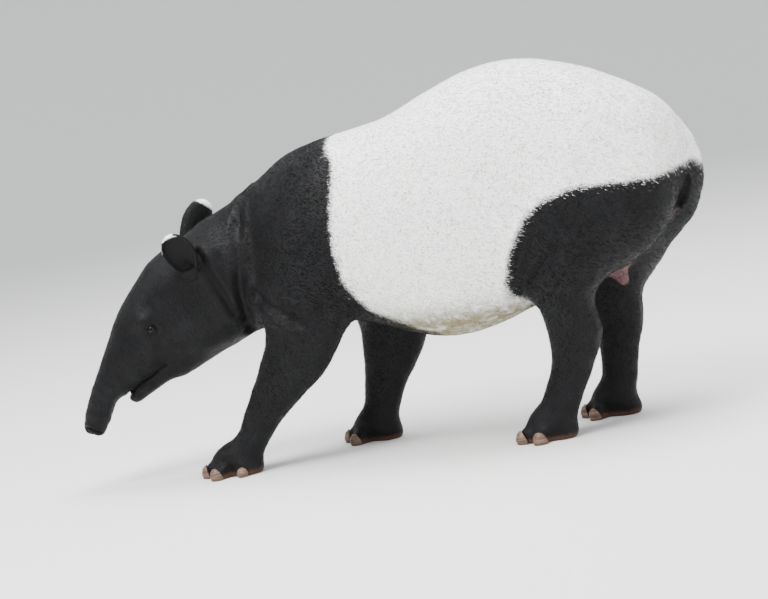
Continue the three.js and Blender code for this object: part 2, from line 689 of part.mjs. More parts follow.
function earBody({ base, tip, facing }) {
  const root = headPoint(...base);
  const axis = headPoint(...tip).sub(root).normalize();
  root.addScaledVector(axis, -EAR_ROOT);
  const front = new THREE.Vector3(...facing).transformDirection(HEAD_FRAME);
  front.addScaledVector(axis, -front.dot(axis)).normalize();
  const wide = new THREE.Vector3().crossVectors(axis, front);
  const length = EAR_LENGTH + EAR_ROOT;
  const halfWidth = (t) => (EAR_WIDTH / 2) * (t < 0.62
    ? 0.4 + 0.6 * Math.sin((Math.PI / 2) * (t / 0.62)) ** 1.3
    : Math.sqrt(1 - ((t - 0.62) / 0.385) ** 2));
  const ringsOf = (levels, shrink, ahead, lean) => levels.map((t) => {
    const half = Math.max(halfWidth(t) - shrink, 2);
    const back = Math.max(Math.min(half, 27 - 11 * t) - shrink, 2);
    const centre = root.clone().addScaledVector(axis, t * length).addScaledVector(front, lean(t));
    return [...Array(16)].map((_, j) => {
      const turn = (2 * Math.PI * j) / 16;
      const depth = Math.cos(turn) > 0 ? ahead(t) : back;
      const place = centre.clone().addScaledVector(wide, half * Math.sin(turn));
      return place.addScaledVector(front, depth * Math.cos(turn));
    });
  });
  const outer = loft(ringsOf(EAR_LEVELS, 0, (t) => Math.max(18 - 26 * t, 3), () => 0));
  const hollowLevels = EAR_LEVELS.slice(2).map((t) => (t > 0.95 ? 0.955 : t));
  const hollow = loft(ringsOf(hollowLevels, EAR_WALL, () => 60, () => 0));
  return largest(outer.subtract(hollow));
}
const clearOfHead = swollen(bareHead);
for (const [name, ear] of Object.entries(EARS)) add(name, earBody(ear).subtract(clearOfHead), BLACK_COAT);

// Legs with their hooves
Object.entries(FEET).forEach(([name, foot]) => {
  const { low, high, ahead } = LEG_SPACES[name];
  const start = [low[0] - ahead, low[1], 0];
  const room = block([low[0], low[1], 0], high).add(block(start, [high[0], high[1], FOOT_HEIGHT]));
  const from = [start[0], low[1], -45];
  const beyond = [high[0] + 40, high[1] + 40];
  const shank = meshField(leggedField, [from[0] + 9, from[1], 62], [...beyond, high[2] + 60], LEG_CELL);
  const sole = meshField(leggedField, from, [...beyond, ANKLE + 40], FOOT_CELL);
  let leg = solid(shank).intersect(halfSpace([0, 0, ANKLE - 1], FLOOR.normal));
  leg = leg.add(solid(sole).subtract(halfSpace([0, 0, ANKLE], FLOOR.normal))).intersect(room);
  toeList(foot).forEach((toe, i) => {
    const turn = new THREE.Euler(0, 0, radians(toe.turn));
    const tip = [Math.cos(radians(toe.turn)), Math.sin(radians(toe.turn)), -0.35];
    const at = toe.at;
    const half = [at[0] + tip[0] * toe.size[0] * 0.38, at[1] + tip[1] * toe.size[0] * 0.38, at[2]];
    const shell = ellipsoid(at, toe.size.map((r) => r + HOOF_THICK), turn, 12);
    const hoof = shell.intersect(halfSpace(half, tip)).intersect(halfSpace(FLOOR.at, FLOOR.normal));
    const free = ellipsoid(at, toe.size.map((r) => r + HOOF_THICK + SEAM + TOE_GAP), turn, 12);
    leg = leg.subtract(free.intersect(halfSpace(half, tip, -SEAM)));
    add(`hoof_${name}_${i + 1}`, hoof, HOOF_HORN);
  });
  add(name, leg, BLACK_COAT);
});

// Tail, a short stub that hangs between the buttocks
const rumpAt = (z) => {
  let inner = 600;
  let outer = 900;
  for (let round = 0; round < 20; round += 1) {
    const middle = (inner + outer) / 2;
    if (leggedField(middle, 0, z) < 0) inner = middle;
    else outer = middle;
  }
  return inner;
};
const TAIL_HEIGHT = 640;
const tailRoot = new THREE.Vector3(rumpAt(TAIL_HEIGHT) - 8, 2, TAIL_HEIGHT);
const tailTip = new THREE.Vector3(rumpAt(TAIL_HEIGHT - TAIL_LENGTH) + 15, -4, TAIL_HEIGHT - TAIL_LENGTH);
const tailRings = [0, 0.25, 0.5, 0.75, 0.92, 1].map((t) => {
  const at = tailRoot.clone().lerp(tailTip, t);
  at.x += 12 * Math.sin(Math.PI * t);
  const r = t < 1 ? 21 - 9 * t : 5;
  return [...Array(10)].map((_, j) => {
    const turn = (2 * Math.PI * j) / 10;
    return at.clone().add(new THREE.Vector3(r * 0.85 * Math.cos(turn), r * Math.sin(turn), 0));
  });
});
add('tail', loft(tailRings).subtract(swollen(torso)), BLACK_COAT);
add('torso', torso, WHITE_COAT);
add('neck', neck, BLACK_COAT);
add('head', head, BLACK_COAT);

// The middle of the floor under the animal is the origin
const reach = new THREE.Box3().setFromObject(group);
group.position.set(-(reach.min.x + reach.max.x) / 2, -(reach.min.y + reach.max.y) / 2, -reach.min.z);
const tapir = new THREE.Group();
tapir.add(group);

export default tapir;
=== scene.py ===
"""A life-size museum model of a standing Malayan tapir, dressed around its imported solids.

One hide covers the flesh, with eyes and hooves of their own and short fur in thin tufts over it.
Metres, +Z up. The head points to -X and the animal's left side to -Y.
"""

import json
import logging
import math
from collections.abc import Sequence
from dataclasses import dataclass
from enum import Enum
from typing import ClassVar

import bpy
import numpy as np
from mathutils import Matrix, Vector
from mathutils.kdtree import KDTree

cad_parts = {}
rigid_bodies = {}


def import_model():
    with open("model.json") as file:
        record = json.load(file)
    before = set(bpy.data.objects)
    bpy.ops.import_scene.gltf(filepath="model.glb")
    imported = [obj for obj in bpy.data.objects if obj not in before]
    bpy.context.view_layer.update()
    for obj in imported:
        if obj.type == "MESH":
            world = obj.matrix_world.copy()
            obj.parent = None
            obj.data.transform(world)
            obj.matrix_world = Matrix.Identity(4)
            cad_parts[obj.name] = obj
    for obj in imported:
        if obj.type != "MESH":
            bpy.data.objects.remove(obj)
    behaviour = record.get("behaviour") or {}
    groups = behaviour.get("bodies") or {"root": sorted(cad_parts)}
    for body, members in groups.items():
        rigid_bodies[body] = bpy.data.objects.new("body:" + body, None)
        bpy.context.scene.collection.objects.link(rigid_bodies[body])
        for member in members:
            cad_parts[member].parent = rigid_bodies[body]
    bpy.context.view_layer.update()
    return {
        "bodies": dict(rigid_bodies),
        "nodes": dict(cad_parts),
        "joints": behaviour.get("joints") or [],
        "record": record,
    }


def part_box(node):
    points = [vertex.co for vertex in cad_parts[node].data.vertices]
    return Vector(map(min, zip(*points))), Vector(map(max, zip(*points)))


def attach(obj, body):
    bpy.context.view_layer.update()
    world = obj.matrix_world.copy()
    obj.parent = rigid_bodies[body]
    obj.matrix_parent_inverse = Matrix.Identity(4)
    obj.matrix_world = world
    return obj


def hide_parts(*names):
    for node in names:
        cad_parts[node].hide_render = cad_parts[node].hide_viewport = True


LOG = logging.getLogger("tapir")
MM = 0.001
ROOT = "root"
MERGE = 1e-5
SIDES = {"left": 1, "right": -1}
SEED = 20


class Region(Enum):
    """The parts of the hide that differ in fur length, lie and fineness."""

    TORSO = 0
    NECK = 1
    HEAD = 2
    EAR = 3
    FORELEG = 4
    HINDLEG = 5
    TAIL = 6


NODE_REGION = {
    "torso": Region.TORSO,
    "neck": Region.NECK,
    "head": Region.HEAD,
    "ear_left": Region.EAR,
    "ear_right": Region.EAR,
    "foreleg_left": Region.FORELEG,
    "foreleg_right": Region.FORELEG,
    "hindleg_left": Region.HINDLEG,
    "hindleg_right": Region.HINDLEG,
    "tail": Region.TAIL,
}
FEET = {"foreleg_left": 4, "foreleg_right": 4, "hindleg_left": 3, "hindleg_right": 3}


# Small helpers


def linear(code: str) -> tuple[float, float, float, float]:
    """Turns an sRGB hex colour into the linear colour that a shader takes.

    Args:
        code: The colour as "#rrggbb".

    Returns:
        Linear red, green and blue, and an alpha of 1.
    """
    parts = [int(code[i : i + 2], 16) / 255 for i in (1, 3, 5)]
    return (*[p / 12.92 if p <= 0.04045 else ((p + 0.055) / 1.055) ** 2.4 for p in parts], 1.0)


def ease(value: np.ndarray, low: float, high: float) -> np.ndarray:
    """Rises smoothly from 0 at low to 1 at high.

    Args:
        value: The numbers to ease.
        low: Where the result is 0.
        high: Where the result is 1. It may be less than low.

    Returns:
        The eased numbers.
    """
    t = np.clip((value - low) / (high - low), 0, 1)
    return t * t * (3 - 2 * t)


def unit(vectors: np.ndarray) -> np.ndarray:
    """Scales each row to a length of 1.

    Args:
        vectors: Rows of three numbers.

    Returns:
        The rows at unit length.
    """
    return vectors / np.maximum(np.linalg.norm(vectors, axis=-1, keepdims=True), 1e-9)


def to_polyline(points: np.ndarray, line: Sequence[Sequence[float]]) -> np.ndarray:
    """Measures how far each point lies from an open line of straight stretches.

    Args:
        points: Rows of points, of as many numbers as the line's corners have.
        line: The corners of the line.

    Returns:
        The distance of each point.
    """
    corners = np.array(line, float)
    best = np.full(len(points), np.inf)
    for a, b in zip(corners[:-1], corners[1:], strict=True):
        along = b - a
        t = np.clip((points - a) @ along / (along @ along), 0, 1)
        best = np.minimum(best, np.linalg.norm(points - a - t[:, None] * along, axis=1))
    return best


def inside_outline(points: np.ndarray, outline: tuple[tuple[float, float], ...]) -> np.ndarray:
    """Tells which flat points lie inside a closed outline.

    Args:
        points: Rows of two numbers.
        outline: The corners of the outline, in order.

    Returns:
        True for each point inside.
    """
    inside = np.zeros(len(points), bool)
    x, z = points[:, 0], points[:, 1]
    for (ax, az), (bx, bz) in zip(outline, outline[1:] + outline[:1], strict=True):
        crosses = (az > z) != (bz > z)
        at = ax + (z - az) * (bx - ax) / (bz - az if bz != az else 1e-9)
        inside ^= crosses & (x < at)
    return inside


def deselect() -> None:
    """Deselects every object."""
    bpy.ops.object.select_all(action="DESELECT")


def only(obj: bpy.types.Object) -> None:
    """Makes an object the active and only selected one."""
    deselect()
    obj.select_set(True)
    bpy.context.view_layer.objects.active = obj


def middle_of(node: str) -> np.ndarray:
    """Finds the middle of a solid's box."""
    return np.mean(np.array(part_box(node)), axis=0)


def new_object(name: str, data: bpy.types.ID) -> bpy.types.Object:
    """Puts a mesh, a light or a camera into the scene as an object at the origin."""
    obj = bpy.data.objects.new(name, data)
    bpy.context.scene.collection.objects.link(obj)
    return obj


def join(pieces: list[bpy.types.Object]) -> bpy.types.Object:
    """Joins objects into one mesh with merged corners and no material.

    Args:
        pieces: The objects. They are used up.

    Returns:
        The joined object.
    """
    deselect()
    for piece in pieces:
        piece.select_set(True)
    bpy.context.view_layer.objects.active = pieces[0]
    bpy.ops.object.join()
    joined = bpy.context.object
    bpy.ops.object.mode_set(mode="EDIT")
    bpy.ops.mesh.select_all(action="SELECT")
    bpy.ops.mesh.remove_doubles(threshold=MERGE)
    bpy.ops.object.mode_set(mode="OBJECT")
    joined.data.materials.clear()
    return joined


def add_weights(obj: bpy.types.Object, name: str, weight: np.ndarray) -> None:
    """Stores a weight for each vertex as a group that a modifier reads, in steps of a hundredth.

    Args:
        obj: The object.
        name: The group's name.
        weight: A number from 0 to 1 for each vertex.
    """
    group = obj.vertex_groups.new(name=name)
    levels = np.round(weight * 100).astype(int)
    for level in np.unique(levels):
        group.add(np.nonzero(levels == level)[0].tolist(), level / 100, "REPLACE")


def apply_modifier(obj: bpy.types.Object, kind: str, **settings: object) -> None:
    """Adds a modifier to an object and applies it.

    Args:
        obj: The object to shape.
        kind: The modifier's type.
        **settings: Its properties.
    """
    only(obj)
    modifier = obj.modifiers.new(kind.lower(), kind)
    for name, value in settings.items():
        setattr(modifier, name, value)
    bpy.ops.object.modifier_apply(modifier=modifier.name)


def corners_of(mesh: bpy.types.Mesh) -> np.ndarray:
    """Reads the places of a mesh's vertices as rows."""
    flat = np.empty(len(mesh.vertices) * 3, np.float32)
    mesh.vertices.foreach_get("co", flat)
    return flat.reshape(-1, 3).astype(float)


def set_corners(mesh: bpy.types.Mesh, points: np.ndarray) -> None:
    """Moves a mesh's vertices to the given rows."""
    mesh.vertices.foreach_set("co", points.astype(np.float32).ravel())
    mesh.update()


def normals_of(mesh: bpy.types.Mesh) -> np.ndarray:
    """Reads the normals of a mesh's vertices as rows."""
    flat = np.empty(len(mesh.vertices) * 3, np.float32)
    mesh.vertex_normals.foreach_get("vector", flat)
    return flat.reshape(-1, 3).astype(float)


def edges_of(mesh: bpy.types.Mesh) -> np.ndarray:
    """Reads the two vertices of each edge of a mesh as rows."""
    flat = np.empty(len(mesh.edges) * 2, np.int32)
    mesh.edges.foreach_get("vertices", flat)
    return flat.reshape(-1, 2)


def relaxed(values: np.ndarray, edges: np.ndarray, rounds: int) -> np.ndarray:
    """Evens out numbers that sit on a mesh's vertices.

    Args:
        values: One number or one row for each vertex.
        edges: The two vertices of each edge.
        rounds: How many times each vertex takes half of its neighbours' mean.

    Returns:
        The evened numbers.
    """
    rows = values.reshape(len(values), -1).astype(float)
    a, b = edges[:, 0], edges[:, 1]
    count = len(rows)
    near = np.maximum(np.bincount(a, minlength=count) + np.bincount(b, minlength=count), 1)
    for _ in range(rounds):
        mean = np.stack(
            [
                np.bincount(a, rows[b, k], count) + np.bincount(b, rows[a, k], count)
                for k in range(rows.shape[1])
            ],
            axis=1,
        )
        rows = 0.5 * rows + 0.5 * mean / near[:, None]
    return rows.reshape(values.shape)


def add_attribute(mesh: bpy.types.Mesh, name: str, values: np.ndarray) -> None:
    """Stores one number for each vertex under a name that a material reads.

    Args:
        mesh: The mesh that carries the numbers.
        name: The attribute's name.
        values: One number for each vertex.
    """
    layer = mesh.attributes.get(name) or mesh.attributes.new(name, "FLOAT", "POINT")
    layer.data.foreach_set("value", values.astype(np.float32))


def read_attribute(mesh: bpy.types.Mesh, name: str) -> np.ndarray:
    """Reads a stored number of each vertex."""
    values = np.empty(len(mesh.vertices), np.float32)
    mesh.attributes[name].data.foreach_get("value", values)
    return values.astype(float)


# Finishes


class Sheet:
    """A material's node sheet, with one call for each kind of node that the finishes use."""

    def __init__(self, name: str) -> None:
        """Makes a material whose surface is one principled shader.

        Args:
            name: The material's name.
        """
        self.material = bpy.data.materials.new(name)
        self.material.use_nodes = True
        self.tree = self.material.node_tree
        self.surface = self.tree.nodes["Principled BSDF"]
        self.place = self.add("ShaderNodeTexCoord").outputs["Object"]

    def add(self, kind: str, values: dict | None = None, **settings: object) -> bpy.types.Node:
        """Adds a node, sets its properties and fills its sockets.

        Args:
            kind: The node's type.
            values: Socket name or number, and its value or the output that feeds it.
            **settings: The node's properties.

        Returns:
            The node.
        """
        node = self.tree.nodes.new(kind)
        for name, value in settings.items():
            setattr(node, name, value)
        for key, value in (values or {}).items():
            if isinstance(value, bpy.types.NodeSocket):
                self.tree.links.new(value, node.inputs[key])
            else:
                node.inputs[key].default_value = value
        return node

    def number(self, name: str) -> bpy.types.NodeSocket:
        """Reads a number stored on the mesh."""
        return self.add("ShaderNodeAttribute", attribute_name=name).outputs["Fac"]

    def maths(self, kind: str, a: object, b: object) -> bpy.types.NodeSocket:
        """Works out one number from two, such as their product."""
        return self.add("ShaderNodeMath", {0: a, 1: b}, operation=kind).outputs[0]

    def noise(self, size: float, detail: float = 2.0, place: object = None) -> bpy.types.NodeSocket:
        """Adds soft noise whose patches are about a size in millimetres."""
        values = {"Vector": place or self.place, "Scale": 1 / (size * MM), "Detail": detail}
        return self.add("ShaderNodeTexNoise", values).outputs["Fac"]

    def stretched(self, size: tuple[float, float, float]) -> bpy.types.NodeSocket:
        """Adds noise whose patches have a size in millimetres along each axis."""
        scale = tuple(1 / (s * MM) for s in size)
        turned = self.add("ShaderNodeMapping", {"Vector": self.place, "Scale": scale})
        values = {"Vector": turned.outputs[0], "Scale": 1.0, "Detail": 2.0}
        return self.add("ShaderNodeTexNoise", values).outputs["Fac"]

    def step(self, value: object, low: float, high: float, top: float = 1.0) -> bpy.types.NodeSocket:
        """Rises smoothly from 0 at low to top at high."""
        values = {"Value": value, "From Min": low, "From Max": high, "To Min": 0.0, "To Max": top}
        node = self.add("ShaderNodeMapRange", values, interpolation_type="SMOOTHSTEP")
        return node.outputs["Result"]

    def mix(self, share: object, a: object, b: object) -> bpy.types.NodeSocket:
        """Mixes two colours by a share."""
        node = self.add("ShaderNodeMix", {0: share, 6: a, 7: b}, data_type="RGBA")
        return node.outputs[2]

    def relief(self, height: object, depth: float, under: object = None) -> bpy.types.NodeSocket:
        """Bends the shading as if a pattern stood out by a depth in millimetres."""
        values = {"Height": height, "Distance": depth * MM, "Strength": 1.0}
        if under is not None:
            values["Normal"] = under
        return self.add("ShaderNodeBump", values).outputs["Normal"]

    def finish(self, **sockets: object) -> bpy.types.Material:
        """Fills the shader's own sockets.

        Args:
            **sockets: Socket names with underscores for spaces, and their values.

        Returns:
            The material.
        """
        for name, value in sockets.items():
            socket = self.surface.inputs[name.replace("_", " ")]
            if isinstance(value, bpy.types.NodeSocket):
                self.tree.links.new(value, socket)
            else:
                socket.default_value = value
        return self.material


@dataclass(frozen=True)
class FurFinish:
    """Short dense fur over thick skin, black at both ends and white over the back."""

    name: str
    is_hide: bool
    black_low: str = "#020203"
    black_high: str = "#0d0d10"
    white: str = "#fbfbf9"
    speck: str = "#918f8d"
    # Tan of the lower belly: partly stain and partly painted shade
    tan: str = "#8f8668"
    # Pink-brown of the bare skin, darkened as painted shade under the body
    flesh: str = "#64494a"
    sole: str = "#4b3224"
    roughness: float = 0.5
    gloss: float = 0.16
    sheen: float = 0.02

    def colour(self, sheet: Sheet) -> bpy.types.NodeSocket:
        """Paints the markings from the numbers stored on the mesh.

        Args:
            sheet: The material's node sheet.

        Returns:
            The colour.
        """
        # The fuzzy edge of the white saddle: the stored distance, pushed about by two noises
        wide = sheet.maths("MULTIPLY", sheet.maths("SUBTRACT", sheet.noise(14), 0.5), 0.010)
        fine = sheet.maths("MULTIPLY", sheet.maths("SUBTRACT", sheet.noise(2.5), 0.5), 0.030)
        edge = sheet.maths("ADD", sheet.number("saddle"), sheet.maths("ADD", wide, fine))
        saddle = sheet.step(edge, -0.008, 0.008)
        # Charcoal that varies a little from patch to patch and from tuft to tuft, and goes darkest in the
        # painted shade of the eye hollows, nostrils, mouth and ears' cups
        tuft = sheet.maths("SUBTRACT", sheet.number("shade"), 0.5)
        lightness = sheet.step(sheet.maths("ADD", sheet.noise(70, 3.0), tuft), 0.2, 0.8)
        black = sheet.mix(lightness, linear(self.black_low), linear(self.black_high))
        # Grey specks where dark hair shows through the white, and a tan belly that is partly stain and
        # partly painted shade, darker towards the bottom
        specks = sheet.step(sheet.noise(5), 0.54, 0.70, 0.7)
        specks = sheet.maths("MAXIMUM", specks, sheet.step(sheet.number("shade"), 0.3, 0.0, 0.7))
        white = sheet.mix(specks, linear(self.white), linear(self.speck))
        belly_stain_and_shade = sheet.maths("MULTIPLY", sheet.number("tan"), sheet.step(sheet.noise(30, 4.0), 0.15, 0.6))
        white = sheet.mix(belly_stain_and_shade, white, linear(self.tan))
        coat = sheet.mix(saddle, black, white)
        coat = sheet.mix(sheet.number("rim"), coat, linear(self.white))
        # Worn brown skin along the edge of each sole
        height = sheet.add("ShaderNodeSeparateXYZ", {0: sheet.place}).outputs["Z"]
        uneven = sheet.maths("ADD", height, sheet.maths("MULTIPLY", sheet.noise(12), 0.012))
        coat = sheet.mix(sheet.step(uneven, 0.026, 0.014, 0.85), coat, linear(self.sole))
        # Bare skin between the hind legs, its colour darkened as painted shade under the body
        return sheet.mix(sheet.number("bare"), coat, linear(self.flesh))

    def build(self) -> bpy.types.Material:
        """Makes the material.

        Returns:
            The material.
        """
        sheet = Sheet(self.name)
        sheet.finish(
            Base_Color=self.colour(sheet),
            Roughness=self.roughness,
            Specular_IOR_Level=self.gloss,
            Sheen_Weight=self.sheen,
        )
        if not self.is_hide:
            return sheet.material
        # Fine grain along the lie of the hair: lengthwise on the body and downwards on the legs
        body = sheet.stretched((26, 2.2, 2.2))
        leg = sheet.stretched((1.8, 1.8, 16))
        lie = sheet.number("lie")
        grain = sheet.add("ShaderNodeMix", {0: lie, 2: body, 3: leg}, data_type="FLOAT").outputs[0]
        pores = sheet.noise(3, 2.0)
        return sheet.finish(Normal=sheet.relief(grain, 1.6, sheet.relief(pores, 0.5)))


@dataclass(frozen=True)
class EyeFinish:
    """Glossy cast resin of one dark brown, smooth enough for the small bright glint of a wet eye."""

    name: str = "eye_resin_glossy"
    brown: str = "#0c0705"
    roughness: float = 0.06
    gloss: float = 0.15

    def build(self) -> bpy.types.Material:
        """Makes the material."""
        return Sheet(self.name).finish(
            Base_Color=linear(self.brown),
            Roughness=self.roughness,
            Specular_IOR_Level=self.gloss,
        )


@dataclass(frozen=True)
class HornFinish:
    """Worn brown horn with growth rings and a pale upper edge, darker towards the bottom."""

    name: str = "hoof_horn_worn"
    brown: str = "#3f2a1f"
    pale: str = "#7d6150"
    bottom_brown: str = "#3d2e23"
    pale_from: float = 30 * MM
    pale_to: float = 40 * MM
    bottom_brown_height: float = 12 * MM
    roughness: float = 0.48

    def build(self) -> bpy.types.Material:
        """Makes the material."""
        sheet = Sheet(self.name)
        height = sheet.add("ShaderNodeSeparateXYZ", {0: sheet.place}).outputs["Z"]
        uneven = sheet.maths("ADD", height, sheet.maths("MULTIPLY", sheet.noise(9), 0.008))
        band = sheet.step(uneven, self.pale_from, self.pale_to)
        rings = sheet.stretched((60, 60, 2.0))
        brown = sheet.mix(sheet.step(rings, 0.35, 0.7), linear(self.brown), linear(self.pale))
        # Darker brown towards the bottom of each hoof
        brown = sheet.mix(sheet.step(height, self.bottom_brown_height, 0.0, 0.7), brown, linear(self.bottom_brown))
        colour = sheet.mix(band, brown, linear(self.pale))
        return sheet.finish(
            Base_Color=colour, Roughness=self.roughness, Normal=sheet.relief(rings, 0.7)
        )


@dataclass(frozen=True)
class StudioFinish:
    """Matt painted floor, pale and even."""

    name: str = "floor_paint_matt"
    grey: str = "#e4e4e2"
    roughness: float = 0.9

    def build(self) -> bpy.types.Material:
        """Makes the material."""
        return Sheet(self.name).finish(Base_Color=linear(self.grey), Roughness=self.roughness)


# Places on the animal


@dataclass
class HeadFrame:
    """The head's own axes: along it to the trunk, across it to the animal's left, and above it.

    The angles are those of the solids, and the origin is worked out from the eyes' boxes.
    """

    yaw: float = 14.0
    pitch: float = 52.0
    roll: float = 8.0
    eye_along: float = 0.196
    eye_above: float = 0.054
    eye_lift: float = 0.25
    poll_in_body: tuple[float, float, float] = (-0.600, -0.062, 0.560)

    def __post_init__(self) -> None:
        """Works out the axes and the origin."""
        yaw, pitch, roll = (math.radians(v) for v in (self.yaw, self.pitch, self.roll))
        self.along = np.array(
            [-math.cos(pitch) * math.cos(yaw), -math.cos(pitch) * math.sin(yaw), -math.sin(pitch)]
        )
        above = np.array(
            [-math.sin(pitch) * math.cos(yaw), -math.sin(pitch) * math.sin(yaw), math.cos(pitch)]
        )
        across = np.cross(above, self.along)
        self.across = across * math.cos(roll) - above * math.sin(roll)
        self.above = above * math.cos(roll) + across * math.sin(roll)
        middle = (middle_of("eye_left") + middle_of("eye_right")) / 2
        self.origin = middle - self.eye_along * self.along - self.eye_above * self.above
        self.body_shift = self.origin - np.array(self.poll_in_body)

    def local(self, points: np.ndarray) -> np.ndarray:
        """Turns places in the row frame into along, across and above."""
        axes = np.stack([self.along, self.across, self.above], axis=1)
        return (points - self.origin) @ axes

    def world(self, along: float, across: float, above: float) -> np.ndarray:
        """Turns along, across and above into a place in the row frame."""
        return self.origin + along * self.along + across * self.across + above * self.above

    def eye_way(self, sign: int) -> np.ndarray:
        """Finds the way an eye looks: 1 for the left eye and -1 for the right one."""
        return unit(self.across * sign + self.eye_lift * self.above)


@dataclass
class Markings:
    """The white saddle, the tan belly that is partly stain and partly painted shade, the white ear tips and
    the bare skin.

    The borders run in the side view and are the same on both sides. They are in the body's own frame,
    whose zero lies between the head's origin and the rump, and are moved by body_shift.
    """

    head: HeadFrame
    front_border: tuple[tuple[float, float], ...] = (
        (-0.205, 1.30),
        (-0.193, 0.877),
        (-0.151, 0.809),
        (-0.158, 0.747),
        (-0.171, 0.642),
        (-0.173, 0.580),
        (-0.163, 0.492),
        (-0.120, 0.406),
        (-0.068, 0.373),
        (0.043, 0.315),
        (0.070, 0.200),
    )
    rear_border: tuple[tuple[float, float], ...] = (
        (0.250, 0.200),
        (0.255, 0.310),
        (0.290, 0.345),
        (0.318, 0.378),
        (0.273, 0.398),
        (0.266, 0.435),
        (0.297, 0.524),
        (0.349, 0.605),
        (0.388, 0.639),
        (0.486, 0.668),
        (0.632, 0.660),
        (0.684, 0.659),
        (0.729, 0.668),
        (0.765, 0.675),
        (0.793, 0.642),
        (1.000, 0.640),
        (1.000, 1.300),
    )
    lobes: tuple[tuple[tuple[float, float, float], float], ...] = (
        ((0.528, 0.006, 0.420), 0.042),
        ((0.543, 0.004, 0.386), 0.024),
    )
    stripe: tuple[tuple[float, float, float], ...] = (
        (0.565, 0.0, 0.450),
        (0.654, 0.0, 0.483),
        (0.700, 0.0, 0.540),
    )
    belly_top: float = 0.43
    belly_bottom: float = 0.34
    ear_tip_share: float = 0.88

    def saddle(self, points: np.ndarray) -> np.ndarray:
        """Measures how far each point lies inside the white saddle, and as less than 0 outside it."""
        flat = (points - self.head.body_shift)[:, [0, 2]]
        edge = np.minimum(to_polyline(flat, self.front_border), to_polyline(flat, self.rear_border))
        inside = inside_outline(flat, self.front_border + self.rear_border)
        return np.where(inside, edge, -edge)

    def tan(self, points: np.ndarray) -> np.ndarray:
        """Tells how tan the white is, most under the belly: partly stain and partly painted shade."""
        return ease(points[:, 2], self.belly_top, self.belly_bottom)

    def bare(self, points: np.ndarray) -> np.ndarray:
        """Tells where the skin is bare: the lobes between the hind legs and a stripe up to the tail."""
        local = points - self.head.body_shift
        lobes = np.full(len(points), np.inf)
        for middle, radius in self.lobes:
            lobes = np.minimum(lobes, np.linalg.norm(local - np.array(middle), axis=1) / radius)
        stripe = to_polyline(local, self.stripe)
        return np.maximum(ease(lobes, 1.25, 0.95), 0.5 * ease(stripe, 0.034, 0.018))


# The hide


@dataclass(frozen=True)
class Fold:
    """A crease in the skin: its line on the left side in the body's own frame, depth and width."""

    line: tuple[tuple[float, float, float], ...]
    depth: float
    width: float


@dataclass(frozen=True)
class Ear:
    """One ear's base and tip on the head's axes and the way its cup faces, as in the solids."""

    base: tuple[float, float, float]
    tip: tuple[float, float, float]
    facing: tuple[float, float, float]


@dataclass(frozen=True)
class Lids:
    """Two lids with a thin rim and a soft groove behind it, round an almond-shaped opening.

    How far a point is from the middle of the opening is counted in half openings, so that 1 is the
    edge of the lids.
    """

    eye_radius: float = 15 * MM
    reach: float = 45 * MM
    depth_behind: float = 6 * MM
    half_length: float = 19.5 * MM
    pinch: float = 30 * MM
    upper_half: float = 15 * MM
    lower_half: float = 12.5 * MM
    sunk_share: float = 0.72
    edge_rise: float = 0.44
    skin_rise: float = 1.2 * MM
    rim_at: float = 1.35
    rim_height: float = 1.4 * MM
    groove_at: float = 1.85
    groove_depth: float = 2.6 * MM
    ring_width: float = 0.2
    blend_from: float = 32 * MM
    blend_to: float = 20 * MM

    def ring(self, out: np.ndarray, at: float) -> np.ndarray:
        """Makes a soft ridge round the opening that is 1 at a distance from its middle."""
        return np.exp(-(((out - at) / self.ring_width) ** 2))

    def shape(self, points: np.ndarray, head: HeadFrame, side: str) -> np.ndarray:
        """Opens an almond between two lids over one eyeball.

        Args:
            points: The skin's corners.
            head: The head's axes.
            side: "left" or "right".

        Returns:
            The corners with lids.
        """
        centre = middle_of("eye_" + side)
        outward = head.eye_way(SIDES[side])
        slit = unit(head.along - (head.along @ outward) * outward)
        upward = np.cross(outward, slit)
        upward = upward * np.sign(upward @ head.above)
        offset = points - centre
        reach = np.linalg.norm(offset, axis=1)
        near = (reach < self.reach) & (offset @ outward > -self.depth_behind)
        u, v = offset @ slit, offset @ upward
        half = np.where(v > 0, self.upper_half, self.lower_half)
        half = half * np.clip(1.0 - (u / self.pinch) ** 2, 0.05, 1)
        out = np.sqrt((u / self.half_length) ** 2 + (v / half) ** 2)
        target = self.eye_radius * (self.sunk_share + self.edge_rise * ease(out, 0.80, 1.02))
        target = target + self.skin_rise * ease(out, 1.0, 1.35)
        target = target + self.rim_height * self.ring(out, self.rim_at)
        target = target - self.groove_depth * self.ring(out, self.groove_at)
        share = ease(reach, self.blend_from, self.blend_to) * near
        share = np.where(near & (out < 1.3), 1.0, share)
        grown = centre + unit(offset) * target[:, None]
        return np.where(near[:, None], points + (grown - points) * share[:, None], points)


